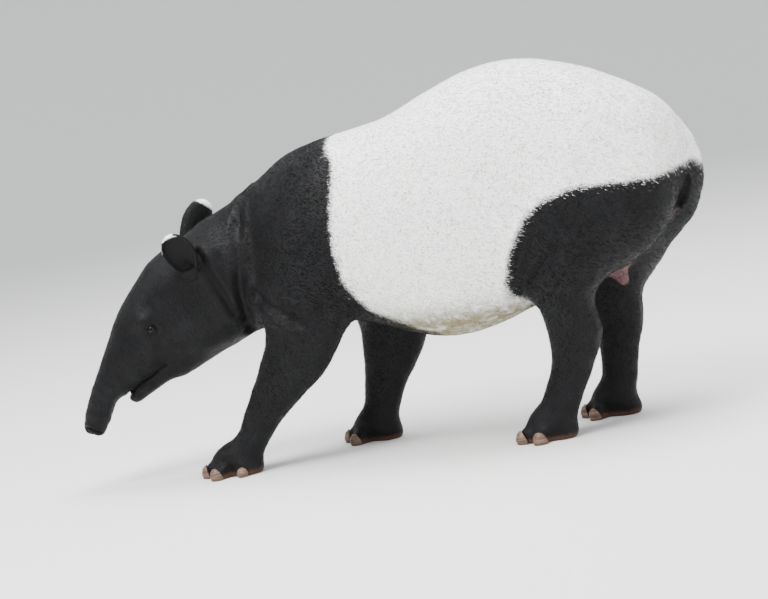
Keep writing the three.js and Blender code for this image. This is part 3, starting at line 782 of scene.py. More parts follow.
@dataclass
class Hide:
    """One closed skin in place of all the flesh, with sculpted lids, lips, nostrils and folds."""

    frame: dict
    head: HeadFrame
    markings: Markings
    voxel: float = 3.8 * MM
    most_triangles: int = 190_000
    smooth_rounds: int = 150
    restore_rounds: int = 60
    lids: Lids = Lids()
    socket_plug: float = 17 * MM
    nostril: tuple[tuple[float, float], ...] = ((0.535, 0.070), (0.536, 0.052), (0.533, 0.036))
    nostril_half: float = 7.0 * MM
    nostril_depth: float = 11 * MM
    septum_half: float = 5 * MM
    mouth: tuple[tuple[float, float], ...] = (
        (0.268, -0.030),
        (0.290, -0.020),
        (0.318, -0.012),
        (0.345, 0.004),
        (0.372, 0.010),
        (0.400, 0.014),
    )
    mouth_half: float = 3.0 * MM
    mouth_depth: float = 5.5 * MM
    cheek: float = 90 * MM
    wrinkle_pitch: float = 5.2 * MM
    wrinkle_height: float = 0.5 * MM
    ear_length: float = 130 * MM
    ear_half: float = 47 * MM
    ear_full_width: float = 0.62
    stretched_share: float = 0.35
    ridge_share: float = 0.35
    ridge_at: float = 2.2

    # Creases round the neck, behind the jaw, over the elbow, in the flank and on the thigh
    folds: ClassVar[tuple[Fold, ...]] = (
        Fold(
            (
                (-0.446, -0.043, 0.753),
                (-0.453, -0.128, 0.681),
                (-0.466, -0.160, 0.522),
                (-0.474, -0.135, 0.436),
                (-0.481, -0.091, 0.387),
            ),
            12 * MM,
            13 * MM,
        ),
        Fold(
            (
                (-0.570, -0.167, 0.619),
                (-0.548, -0.177, 0.576),
                (-0.531, -0.174, 0.532),
                (-0.511, -0.164, 0.484),
                (-0.498, -0.146, 0.441),
            ),
            9 * MM,
            10 * MM,
        ),
        Fold(((-0.427, -0.164, 0.490), (-0.352, -0.212, 0.434), (-0.300, -0.222, 0.400)), 11 * MM, 14 * MM),
        Fold(((0.345, -0.272, 0.550), (0.314, -0.251, 0.487), (0.283, -0.194, 0.403)), 12 * MM, 16 * MM),
        Fold(((0.432, -0.270, 0.520), (0.383, -0.256, 0.475), (0.331, -0.222, 0.425)), 9 * MM, 14 * MM),
    )

    # Hollows and swellings of the face: where on the head's axes, radius and height, in metres
    face_forms: ClassVar[tuple[tuple[tuple[float, float, float], float, float], ...]] = (
        ((0.240, 0.064, 0.090), 0.028, -0.010),
        ((0.140, 0.090, 0.062), 0.034, -0.008),
        ((0.186, 0.084, 0.092), 0.018, 0.006),
        ((0.232, 0.078, 0.006), 0.022, -0.006),
        ((0.110, 0.100, -0.030), 0.055, 0.008),
        ((0.290, 0.056, 0.010), 0.024, 0.007),
        ((0.330, 0.050, 0.026), 0.020, 0.006),
        ((0.350, 0.036, -0.016), 0.016, 0.004),
        ((0.345, 0.050, 0.066), 0.022, -0.004),
    )

    ears: ClassVar[dict[str, Ear]] = {
        "left": Ear((0.001, 0.113, 0.044), (-0.063, 0.163, 0.146), (0.16, 0.95, 0.2)),
        "right": Ear((-0.043, -0.086, 0.066), (-0.177, -0.128, 0.070), (0.38, -0.85, 0.3)),
    }

    # Places on the head's axes along the mouth that need fine faces, on either side
    lips: ClassVar[tuple[tuple[float, float, float], ...]] = (
        (0.318, 0.040, -0.012),
        (0.342, 0.034, 0.004),
        (0.365, 0.022, 0.022),
    )

    # How strongly each region is smoothed, and how deep in millimetres the coat over it is
    softness: ClassVar[dict[Region, float]] = {
        Region.TORSO: 1.0,
        Region.NECK: 0.7,
        Region.HEAD: 0.16,
        Region.EAR: 0.03,
        Region.FORELEG: 0.4,
        Region.HINDLEG: 0.4,
        Region.TAIL: 0.12,
    }
    coat_depth: ClassVar[dict[Region, float]] = {
        Region.TORSO: 3.0,
        Region.NECK: 2.6,
        Region.HEAD: 1.4,
        Region.EAR: 0.5,
        Region.FORELEG: 1.6,
        Region.HINDLEG: 1.8,
        Region.TAIL: 1.4,
    }

    def gather(self) -> bpy.types.Object:
        """Joins copies of the flesh nodes and plugs the eye sockets.

        Returns:
            The joined object.
        """
        copies = []
        for name in NODE_REGION:
            copies.append(new_object("hide_" + name, self.frame["nodes"][name].data.copy()))
        for side in SIDES:
            deselect()
            bpy.ops.mesh.primitive_uv_sphere_add(
                segments=32, ring_count=16, radius=self.socket_plug, location=middle_of("eye_" + side)
            )
            plug = bpy.context.object
            bpy.ops.object.transform_apply(location=True, rotation=True, scale=True)
            copies.append(plug)
        hide = join(copies)
        hide.name = hide.data.name = "hide"
        return hide

    def regions(self, points: np.ndarray) -> np.ndarray:
        """Finds the region of each point from the nearest corner of the solids.

        Args:
            points: Rows of places.

        Returns:
            The number of each point's region.
        """
        places, numbers = [], []
        for name, region in NODE_REGION.items():
            own = corners_of(self.frame["nodes"][name].data)
            places.append(own)
            numbers.append(np.full(len(own), region.value))
        places, numbers = np.concatenate(places), np.concatenate(numbers)
        _, first = np.unique(np.round(places, 4), axis=0, return_index=True)
        places, numbers = places[first], numbers[first]
        tree = KDTree(len(places))
        for i, place in enumerate(places):
            tree.insert(place, i)
        tree.balance()
        return np.array([numbers[tree.find(p)[1]] for p in points])

    def smooth(self, hide: bpy.types.Object) -> None:
        """Rounds off the flat faces of the solids without letting the body shrink.

        Args:
            hide: The remeshed skin.
        """
        mesh = hide.data
        before = corners_of(mesh)
        edges = edges_of(mesh)
        number = self.regions(before)
        table = np.array([self.softness[r] for r in Region])
        weight = relaxed(table[number], edges, 25)
        # Feet are finer than the legs, and the trunk is finer than the brow
        weight *= 1 - 0.6 * ease(before[:, 2], 0.20, 0.08)
        local = self.head.local(before)
        weight *= 1 - 0.6 * ease(local[:, 0], 0.27, 0.34)
        add_weights(hide, "soft", np.clip(weight, 0.005, 1))
        apply_modifier(
            hide, "SMOOTH", factor=0.5, iterations=self.smooth_rounds, vertex_group="soft"
        )
        after = corners_of(mesh)
        normals = normals_of(mesh)
        shrunk = np.sum((before - after) * normals, axis=1)
        set_corners(mesh, after + relaxed(shrunk, edges, self.restore_rounds)[:, None] * normals)

    def refine(self, hide: bpy.types.Object, centres: list[tuple[np.ndarray, float]]) -> None:
        """Splits the faces around some places.

        Args:
            hide: The skin.
            centres: Places and how far around each the faces are split.
        """
        mesh = hide.data
        points = corners_of(mesh)
        chosen = np.zeros(len(points), bool)
        for centre, reach in centres:
            chosen |= np.linalg.norm(points - centre, axis=1) < reach
        only(hide)
        bpy.ops.object.mode_set(mode="EDIT")
        bpy.ops.mesh.select_mode(type="VERT")
        bpy.ops.mesh.select_all(action="DESELECT")
        bpy.ops.object.mode_set(mode="OBJECT")
        mesh.vertices.foreach_set("select", chosen)
        bpy.ops.object.mode_set(mode="EDIT")
        bpy.ops.mesh.subdivide(number_cuts=1, smoothness=0.0)
        bpy.ops.object.mode_set(mode="OBJECT")

    def sculpt(self, hide: bpy.types.Object) -> None:
        """Shapes the lids, the folds, the face, the mouth, the trunk's wrinkles and the nostrils.

        Args:
            hide: The skin.
        """
        mesh = hide.data
        points = corners_of(mesh)
        for side in SIDES:
            points = self.lids.shape(points, self.head, side)
        set_corners(mesh, points)
        normals = normals_of(mesh)
        lift = self.fold_lift(points) + self.trunk_lift(points) + self.form_lift(points)
        lift -= self.mouth_depth * np.exp(-((self.from_mouth(points) / self.mouth_half) ** 2))
        set_corners(mesh, points + normals * lift[:, None])
        points = corners_of(mesh)
        set_corners(mesh, points + normals_of(mesh) * self.nostril_lift(points)[:, None])

    def fold_lift(self, points: np.ndarray) -> np.ndarray:
        """Works out how far creases in the skin push it in or out.

        Args:
            points: The skin's corners.

        Returns:
            The lift of each corner, along its normal.
        """
        lift = np.zeros(len(points))
        for sign in SIDES.values():
            for fold in self.folds:
                # The head is turned to the left, so the skin on the right side is stretched
                depth = fold.depth if sign > 0 else self.stretched_share * fold.depth
                line = np.array(fold.line) * np.array([1, sign, 1]) + self.head.body_shift
                away = to_polyline(points, line) / fold.width
                lift -= depth * np.exp(-(away**2))
                lift += self.ridge_share * depth * np.exp(-((away - self.ridge_at) ** 2))
        return lift

    def form_lift(self, points: np.ndarray) -> np.ndarray:
        """Works out the hollows and swellings of the face.

        Args:
            points: The skin's corners.

        Returns:
            The lift of each corner, along its normal.
        """
        local = self.head.local(points)
        lift = np.zeros(len(points))
        for (along, across, above), radius, height in self.face_forms:
            for sign in SIDES.values():
                away = np.linalg.norm(local - np.array([along, across * sign, above]), axis=1)
                lift += height * np.exp(-((away / radius) ** 2))
        return lift

    def nostril_lift(self, points: np.ndarray) -> np.ndarray:
        """Works out the two nostrils, each a deep slanted slit with a soft rim.

        Args:
            points: The skin's corners.

        Returns:
            The lift of each corner, along its normal.
        """
        away = self.from_nostrils(points)
        pit = -self.nostril_depth * np.exp(-((away / self.nostril_half) ** 4))
        return pit + 0.0018 * np.exp(-(((away - 1.9 * self.nostril_half) / 0.004) ** 2))

    def from_nostrils(self, points: np.ndarray) -> np.ndarray:
        """Measures in the side view how far each point lies from the nostrils' middle line."""
        local = self.head.local(points)
        away = to_polyline(local[:, [0, 2]], self.nostril)
        return away + 0.012 * ease(np.abs(local[:, 1]), self.septum_half, 0.4 * self.septum_half)

    def from_mouth(self, points: np.ndarray) -> np.ndarray:
        """Measures in the side view how far each point lies from the line of the mouth."""
        local = self.head.local(points)
        return to_polyline(local[:, [0, 2]], self.mouth) + (np.abs(local[:, 1]) > self.cheek)

    def trunk_lift(self, points: np.ndarray) -> np.ndarray:
        """Works out the fine rings of wrinkles round the trunk.

        Args:
            points: The skin's corners.

        Returns:
            The lift of each corner, along its normal.
        """
        local = self.head.local(points)
        along, across, above = local.T
        on_trunk = ease(along, 0.36, 0.42) * ease(along, 0.55, 0.50) * ease(above, -0.03, 0.0)
        # The rings wander a little, so that they don't look turned on a lathe
        wander = 2.5 * np.sin(across / 0.02) + 1.5 * np.sin(above / 0.017)
        return self.wrinkle_height * on_trunk * np.sin(along / self.wrinkle_pitch + wander)

    def inset(self, hide: bpy.types.Object) -> None:
        """Sinks the skin below the solids' surface by the depth of the coat.

        Args:
            hide: The skin.
        """
        mesh = hide.data
        points = corners_of(mesh)
        table = np.array([self.coat_depth[r] for r in Region]) * MM
        depth = relaxed(table[self.regions(points)], edges_of(mesh), 12)
        depth *= ease(points[:, 2], 0.0, 0.06)
        points = points - normals_of(mesh) * depth[:, None]
        points[:, 2] = np.maximum(points[:, 2], 0)
        set_corners(mesh, points)

    def thin_out(self, hide: bpy.types.Object) -> None:
        """Drops triangles from the plain stretches of the skin, and none from the face.

        Args:
            hide: The skin.
        """
        mesh = hide.data
        points = corners_of(mesh)
        number = self.regions(points)
        local = self.head.local(points)
        weight = np.ones(len(points))
        weight[number == Region.HEAD.value] = 0.45
        weight[number == Region.EAR.value] = 0.15
        for place in self.fine_places():
            weight[np.linalg.norm(points - place[0], axis=1) < place[1]] = 0.02
        weight[(local[:, 0] > 0.44) & (number == Region.HEAD.value)] = 0.2
        add_weights(hide, "plain", weight)
        now = sum(len(p.vertices) - 2 for p in mesh.polygons)
        apply_modifier(
            hide,
            "DECIMATE",
            ratio=min(self.most_triangles / now, 1.0),
            vertex_group="plain",
            use_collapse_triangulate=True,
        )

    def fine_places(self) -> list[tuple[np.ndarray, float]]:
        """Lists the places on the face that need fine faces, with their reach.

        Returns:
            A place and a reach for each.
        """
        places = []
        for side, sign in SIDES.items():
            places.append((middle_of("eye_" + side), 0.034))
            places.append((self.head.world(0.528, 0.015 * sign, 0.034), 0.024))
            for along, across, above in self.lips:
                places.append((self.head.world(along, across * sign, above), 0.024))
        return places

    def mark(self, hide: bpy.types.Object) -> None:
        """Stores on the skin the numbers that the fur's material and the tufts read.

        Args:
            hide: The skin.
        """
        mesh = hide.data
        points = corners_of(mesh)
        edges = edges_of(mesh)
        number = self.regions(points)
        add_attribute(mesh, "region", number.astype(float))
        add_attribute(mesh, "saddle", self.markings.saddle(points))
        add_attribute(mesh, "tan", self.markings.tan(points))
        add_attribute(mesh, "rim", self.ear_rim(points, number))
        add_attribute(mesh, "bare", self.markings.bare(points))
        # The shade number carries the painted shade of the eye hollows, nostrils, mouth and ears' cups
        add_attribute(mesh, "shade", 0.42 * (1 - self.dark(points, normals_of(mesh), number)))
        lie = relaxed(self.lie(points, number), edges, 30)
        for axis, letter in enumerate("xyz"):
            add_attribute(mesh, "lie_" + letter, lie[:, axis])
        add_attribute(mesh, "lie", ease(np.abs(unit(lie)[:, 2]), 0.45, 0.8))

    def dark(self, points: np.ndarray, normals: np.ndarray, number: np.ndarray) -> np.ndarray:
        """Tells where painted shade darkens the coat most: round the eyes, in the nostrils, along the mouth
        and in the ears' cups.

        Args:
            points: The skin's corners.
            normals: The normal at each corner.
            number: The region of each corner.

        Returns:
            1 where the painted shade is darkest and 0 elsewhere.
        """
        # Painted shade in the recesses: the nostrils' pits, the mouth's slit, the eye hollows and the ears'
        # cups
        dark = ease(self.from_nostrils(points), 0.0095, 0.0065)
        dark = np.maximum(dark, ease(self.from_mouth(points), 0.0055, 0.0025))
        for side in SIDES:
            away = np.linalg.norm(points - middle_of("eye_" + side), axis=1)
            dark = np.maximum(dark, ease(away, 0.040, 0.024))
            share, wide, front = self.on_ear(points, side)
            inward = ease(normals @ front, 0.15, 0.45) * ease(np.abs(wide), 0.95, 0.8)
            cup = self.of_ear(points, number, side) & (share > 0)
            dark = np.maximum(dark, cup * inward * ease(share, 0.97, 0.9))
        return dark

    def ear_rim(self, points: np.ndarray, number: np.ndarray) -> np.ndarray:
        """Tells where the ears' white edges are: a cap on one tip and a thin arc on the other.

        Args:
            points: The skin's corners.
            number: The region of each corner.

        Returns:
            1 on the white edges and 0 elsewhere.
        """
        rim = np.zeros(len(points))
        start = self.markings.ear_tip_share
        for side in SIDES:
            share, wide, _ = self.on_ear(points, side)
            forward = -wide if side == "left" else wide
            cap = ease(share, start, start + 0.04) * ease(forward, -0.7, -0.4)
            arc = ease(share, 0.6, 0.7) * ease(forward, 0.86, 0.95)
            white = np.maximum(cap, arc) if side == "left" else ease(share, start - 0.03, start + 0.01)
            rim = np.where(self.of_ear(points, number, side), white, rim)
        return rim

    def of_ear(self, points: np.ndarray, number: np.ndarray, side: str) -> np.ndarray:
        """Tells which corners belong to one ear.

        Args:
            points: The skin's corners.
            number: The region of each corner.
            side: "left" or "right".

        Returns:
            True for each corner of that ear.
        """
        return (number == Region.EAR.value) & (self.head.local(points)[:, 1] * SIDES[side] > 0)

    def on_ear(self, points: np.ndarray, side: str) -> tuple[np.ndarray, np.ndarray, np.ndarray]:
        """Places points on an ear's own axes.

        Args:
            points: Rows of places.
            side: "left" or "right".

        Returns:
            The share of the ear's length, the share of its half width, and the way its cup faces.
        """
        root, tip = self.ear_axis(side)
        axis = unit(tip - root)
        front = self.head.world(*self.ears[side].facing) - self.head.origin
        front = unit(front - (front @ axis) * axis)
        wide = np.cross(axis, front)
        offset = points - root
        share = offset @ axis / self.ear_length
        rise = np.clip(share + 0.1, 0.0, self.ear_full_width) / self.ear_full_width
        half = self.ear_half * (0.4 + 0.6 * np.sin(np.pi / 2 * rise) ** 1.3)
        half *= np.sqrt(np.clip(1 - (np.clip(share - 0.56, 0, 1) / 0.45) ** 2, 0.05, 1))
        return share, offset @ wide / half, front

    def ear_axis(self, side: str) -> tuple[np.ndarray, np.ndarray]:
        """Finds an ear's root and tip.

        Args:
            side: "left" or "right".

        Returns:
            The two places.
        """
        ear = self.ears[side]
        return self.head.world(*ear.base), self.head.world(*ear.tip)

    def lie(self, points: np.ndarray, number: np.ndarray) -> np.ndarray:
        """Tells which way the hair points at each place.

        Args:
            points: Places on the skin.
            number: The region of each place.

        Returns:
            Directions, not yet laid flat on the skin.
        """
        ways = np.tile(np.array([1.0, 0.0, -0.35]), (len(points), 1))
        down = np.array([0.15, 0.0, -1.0])
        ways[(number == Region.FORELEG.value) | (number == Region.HINDLEG.value)] = down
        ways[number == Region.TAIL.value] = down
        # Hair of the lower flank and thigh turns down towards the legs
        steep = ease(points[:, 2], 0.5, 0.34)[:, None]
        ways = ways * (1 - steep * 0.5) + down * steep * 0.5
        ways[number == Region.HEAD.value] = -self.head.along
        ways[number == Region.NECK.value] = np.array([1.0, 0.1, -0.1])
        for side in SIDES:
            root, tip = self.ear_axis(side)
            near = np.linalg.norm(points - (root + tip) / 2, axis=1) < 0.1
            ways[near & (number == Region.EAR.value)] = tip - root
        return unit(ways)

    def build(self) -> bpy.types.Object:
        """Makes the skin.

        Returns:
            The finished skin.
        """
        hide = self.gather()
        apply_modifier(hide, "REMESH", mode="VOXEL", voxel_size=self.voxel, adaptivity=0.0)
        LOG.info("hide remeshed: %d corners", len(hide.data.vertices))
        self.keep_largest(hide)
        self.smooth(hide)
        self.refine(hide, self.fine_places())
        self.refine(hide, [(place, reach * 0.8) for place, reach in self.fine_places()])
        self.sculpt(hide)
        self.inset(hide)
        self.thin_out(hide)
        self.mark(hide)
        only(hide)
        bpy.ops.object.shade_smooth()
        hide.data.materials.append(FurFinish("hide_short_fur_combed", True).build())
        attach(hide, ROOT)
        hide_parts(*NODE_REGION)
        return hide

    def keep_largest(self, hide: bpy.types.Object) -> None:
        """Keeps only the largest closed surface of the skin.

        Args:
            hide: The skin.
        """
        only(hide)
        bpy.ops.object.mode_set(mode="EDIT")
        bpy.ops.mesh.select_all(action="SELECT")
        bpy.ops.mesh.separate(type="LOOSE")
        bpy.ops.object.mode_set(mode="OBJECT")
        parts = sorted(bpy.context.selected_objects, key=lambda o: len(o.data.vertices))
        for scrap in parts[:-1]:
            if scrap != hide:
                bpy.data.objects.remove(scrap)
        if parts[-1] != hide:
            hide.data = parts[-1].data
            bpy.data.objects.remove(parts[-1])
        hide.name = hide.data.name = "hide"


# The fur


@dataclass(frozen=True)
class Tuft:
    """The usual tuft of a region: sizes in millimetres, and how densely such tufts stand.

    The lift of the tip is a share of the length.
    """

    length: float
    width: float
    lift: float
    density: float


@dataclass
class Coat:
    """Short fur in thin tufts that lie along the body and break its outline."""

    hide: bpy.types.Object
    material: bpy.types.Material
    tufts: int = 128_000
    quick_tufts: int = 110_000
    most_in_piece: int = 19_500
    bald_below: float = 6 * MM
    bald_shade: float = 0.12
    floor_gap: float = 0.8 * MM
    patch: float = 0.0008

    kinds: ClassVar[dict[Region, Tuft]] = {
        Region.TORSO: Tuft(11.0, 1.4, 0.13, 1.0),
        Region.NECK: Tuft(9.0, 1.3, 0.10, 1.0),
        Region.HEAD: Tuft(6.0, 1.0, 0.12, 1.5),
        Region.EAR: Tuft(6.0, 0.9, 0.14, 1.6),
        Region.FORELEG: Tuft(9.0, 1.3, 0.12, 1.1),
        Region.HINDLEG: Tuft(9.0, 1.3, 0.12, 1.1),
        Region.TAIL: Tuft(11.0, 1.4, 0.18, 2.0),
    }

    def usual(self, measure: str, region: np.ndarray) -> np.ndarray:
        """Looks up one measure of the usual tuft for the region of each place."""
        return np.array([getattr(self.kinds[r], measure) for r in Region])[region]

    def roots(self, rng: np.random.Generator, count: int) -> dict[str, np.ndarray]:
        """Scatters roots over the skin and reads what the skin says there.

        Args:
            rng: The seeded source of random numbers.
            count: How many tufts.

        Returns:
            The place, normal and stored numbers of each root.
        """
        mesh = self.hide.data
        points, normals = corners_of(mesh), normals_of(mesh)
        faces = np.empty(len(mesh.polygons) * 3, np.int32)
        mesh.polygons.foreach_get("vertices", faces)
        faces = faces.reshape(-1, 3)
        a, b, c = (points[faces[:, k]] for k in range(3))
        area = np.linalg.norm(np.cross(b - a, c - a), axis=1) / 2
        region = read_attribute(mesh, "region")[faces[:, 0]].astype(int)
        height = (a[:, 2] + b[:, 2] + c[:, 2]) / 3
        # No tufts in the nostrils and the ears' cups, on the lids or under the soles
        shade = read_attribute(mesh, "shade")[faces].mean(axis=1)
        grows = (height >= self.bald_below) & (shade >= self.bald_shade)
        share = np.cumsum(area * self.usual("density", region) * grows)
        chosen = np.searchsorted(share, rng.random(count) * share[-1])
        u, v = rng.random(count), rng.random(count)
        flip = u + v > 1
        u, v = np.where(flip, 1 - u, u), np.where(flip, 1 - v, v)
        weights = np.stack([1 - u - v, u, v], axis=1)
        picked = faces[chosen]

        def blend(values: np.ndarray) -> np.ndarray:
            """Mixes the numbers of a face's three corners."""
            return np.einsum("nk,nk...->n...", weights, values[picked])

        found = {"place": blend(points), "normal": unit(blend(normals)), "region": region[chosen]}
        for name in ("saddle", "tan", "rim", "bare", "shade", "lie_x", "lie_y", "lie_z"):
            found[name] = blend(read_attribute(mesh, name))
        return found

    def unwrap(self, place: np.ndarray, region: np.ndarray) -> np.ndarray:
        """Unwraps the skin's own shape, each region rolled out around its own axis.

        Args:
            place: Places on the skin.
            region: The region of each place.

        Returns:
            Rows of two numbers in the unit square.
        """
        flat = np.zeros((len(place), 2))
        for value in np.unique(region):
            own = region == value
            p = place[own]
            if value in (Region.FORELEG.value, Region.HINDLEG.value):
                # The left leg and the right one lie side by side
                left = p[:, 1] < 0
                spread = p - np.where(left[:, None], p[left].mean(axis=0), p[~left].mean(axis=0))
                turn = np.arctan2(spread[:, 1], spread[:, 0]) / (2 * np.pi) + 0.5
                across, along = (turn + left) / 2, p[:, 2]
            else:
                spread = p - p.mean(axis=0)
                across = np.arctan2(spread[:, 1], spread[:, 2]) / (2 * np.pi) + 0.5
                along = p[:, 0]
            along = (along - along.min()) / max(np.ptp(along), 1e-6)
            flat[own, 0] = 0.01 + 0.98 * across
            flat[own, 1] = (value + 0.02 + 0.96 * along) / len(Region)
        return flat

    def shapes(self, found: dict[str, np.ndarray], rng: np.random.Generator) -> np.ndarray:
        """Works out the corners of every tuft: two three-sided rings and a tip.

        Args:
            found: What the skin says at each root.
            rng: The seeded source of random numbers.

        Returns:
            Seven corners for each tuft.
        """
        root, normal, region = found["place"], found["normal"], found["region"]
        count = len(root)
        # Tufts get smaller towards the feet
        small = 1 - 0.45 * ease(root[:, 2], 0.16, 0.03)
        length = self.usual("length", region) * MM * rng.uniform(0.7, 1.25, count) * small
        width = self.usual("width", region) * MM * rng.uniform(0.7, 1.3, count) * small
        lift = self.usual("lift", region) * length * rng.uniform(0.5, 1.6, count)
        way = np.stack([found["lie_" + axis] for axis in "xyz"], axis=1)
        way = way + rng.normal(0, 0.17, (count, 3))
        way = unit(way - np.sum(way * normal, axis=1, keepdims=True) * normal)
        side = np.cross(normal, way)
        curl = rng.normal(0, 0.06, count) * length

        def spot(share: float, height: np.ndarray, bend: float) -> np.ndarray:
            """Finds the tuft's middle line at a share of its length."""
            sideways = side * (curl * bend)[:, None]
            return root + way * (length * share)[:, None] + normal * height[:, None] + sideways

        corners = []
        for share, wide, height in ((0.0, 1.0, np.full(count, -1.2 * MM)), (0.45, 0.9, lift * 0.75)):
            middle = spot(share, height, share)
            half = side * (width * wide / 2)[:, None]
            corners += [middle - half, middle + half, middle + normal * (width * wide * 0.3)[:, None]]
        corners.append(spot(1.0, lift, 1.3))
        corners = np.stack(corners, axis=1)
        corners[:, :, 2] = np.maximum(corners[:, :, 2], self.floor_gap)
        return corners

    def build(self) -> list[bpy.types.Object]:
        """Makes the tufts, region by region.

        Returns:
            The pieces of fur.
        """
        rng = np.random.default_rng(SEED)
        found = self.roots(rng, self.tufts)
        region = found["region"]
        corners = self.shapes(found, rng)
        # Each tuft is a little lighter or darker than its neighbours, and the borders are ragged
        numbers = {name: found[name] for name in ("tan", "rim", "bare")}
        numbers["shade"] = np.clip(found["shade"] + rng.normal(0.08, 0.22, len(region)), 0, 1)
        numbers["saddle"] = found["saddle"] + rng.normal(0, 0.008, len(region))
        flat = self.unwrap(found["place"], region)
        pieces = []
        for value in Region:
            own = np.nonzero(region == value.value)[0]
            parts = math.ceil(len(own) / self.most_in_piece)
            for k, chosen in enumerate(np.array_split(own, parts)):
                name = f"fur_{value.name.lower()}" + (f"_{k + 1}" if parts > 1 else "")
                pieces.append(self.piece(name, corners[chosen], flat[chosen], numbers, chosen))
        return pieces

    def piece(
        self, name: str, corners: np.ndarray, flat: np.ndarray, numbers: dict, chosen: np.ndarray
    ) -> bpy.types.Object:
        """Makes one piece of fur as a joined mesh.

        Args:
            name: The piece's name.
            corners: Seven corners of each tuft.
            flat: Each root's place on the unwrap.
            numbers: What each tuft's material reads, by name.
            chosen: Which tufts of the whole coat these are.

        Returns:
            The piece.
        """
        quads = [(0, 1, 4, 3), (1, 2, 5, 4), (2, 0, 3, 5)]
        tris = [(3, 4, 6), (4, 5, 6), (5, 3, 6), (2, 1, 0)]
        pattern = [(a, b, c) for a, b, c, d in quads] + [(a, c, d) for a, b, c, d in quads] + tris
        count = len(corners)
        faces = (np.array(pattern)[None] + 7 * np.arange(count)[:, None, None]).reshape(-1, 3)
        mesh = bpy.data.meshes.new(name)
        mesh.vertices.add(count * 7)
        mesh.vertices.foreach_set("co", corners.astype(np.float32).ravel())
        mesh.loops.add(len(faces) * 3)
        mesh.loops.foreach_set("vertex_index", faces.astype(np.int32).ravel())
        mesh.polygons.add(len(faces))
        mesh.polygons.foreach_set("loop_start", np.arange(0, len(faces) * 3, 3, dtype=np.int32))
        mesh.update(calc_edges=True)
        mesh.validate()
        # Each tuft is a small patch at its root's place on the unwrap
        patch = np.array([(-1, 0), (1, 0), (0, 0.2), (-1, 1), (1, 1), (0, 1.2), (0, 2)]) * self.patch
        spot = (flat[:, None] + patch[None]).reshape(-1, 2)
        layer = mesh.uv_layers.new(name="OFBake")
        layer.data.foreach_set("uv", spot[faces.ravel()].astype(np.float32).ravel())
        for key, values in numbers.items():
            add_attribute(mesh, key, np.repeat(values[chosen], 7))
        mesh.polygons.foreach_set("use_smooth", np.ones(len(faces), bool))
        obj = new_object(name, mesh)
        mesh.materials.append(self.material)
        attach(obj, ROOT)
        return obj


# Eyes and hooves


@dataclass
class Eyeball:
    """One glossy eye with a slightly raised cornea."""

    side: str
    outward: np.ndarray
    radius: float = 15 * MM
    cornea: float = 0.4 * MM

    def build(self, material: bpy.types.Material) -> bpy.types.Object:
        """Makes the eye where its solid is.

        Args:
            material: The eye's finish.

        Returns:
            The eye.
        """
        node = "eye_" + self.side
        middle = middle_of(node)
        deselect()
        bpy.ops.mesh.primitive_uv_sphere_add(
            segments=64, ring_count=32, radius=self.radius, location=middle
        )
        eye = bpy.context.object
        bpy.ops.object.transform_apply(location=True, rotation=True, scale=True)
        points = corners_of(eye.data)
        away = unit(points - middle)
        bulge = self.cornea * ease(away @ self.outward, 0.6, 1.0)
        set_corners(eye.data, points + away * bulge[:, None])
        bpy.ops.object.shade_smooth()
        eye.name = eye.data.name = "eyeball_" + self.side
        eye.data.materials.append(material)
        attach(eye, ROOT)
        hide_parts(node)
        return eye


@dataclass
class Hooves:
    """The horn of one foot's toes, rounded from the solids, with flat soles."""

    frame: dict
    leg: str
    toes: int
    voxel: float = 1.5 * MM
    rounds: int = 10
    flat_below: float = 2.2 * MM

    def build(self, material: bpy.types.Material) -> bpy.types.Object:
        """Makes the foot's hooves.

        Args:
            material: The horn's finish.

        Returns:
            The hooves of the foot.
        """
        names = [f"hoof_{self.leg}_{k + 1}" for k in range(self.toes)]
        nodes = self.frame["nodes"]
        hooves = join([new_object(name + "_copy", nodes[name].data.copy()) for name in names])
        apply_modifier(hooves, "REMESH", mode="VOXEL", voxel_size=self.voxel, adaptivity=0.0)
        apply_modifier(hooves, "SMOOTH", factor=0.5, iterations=self.rounds)
        points = corners_of(hooves.data)
        points[points[:, 2] < self.flat_below, 2] = 0
        set_corners(hooves.data, points)
        only(hooves)
        bpy.ops.object.shade_smooth()
        hooves.name = hooves.data.name = "hooves_" + self.leg
        hooves.data.materials.append(material)
        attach(hooves, ROOT)
        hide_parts(*names)
        return hooves


# The studio


@dataclass(frozen=True)
class Lamp:
    """A soft square light: where it hangs, its width in metres and its power in watts."""

    name: str
    place: tuple[float, float, float]
    width: float
    power: float


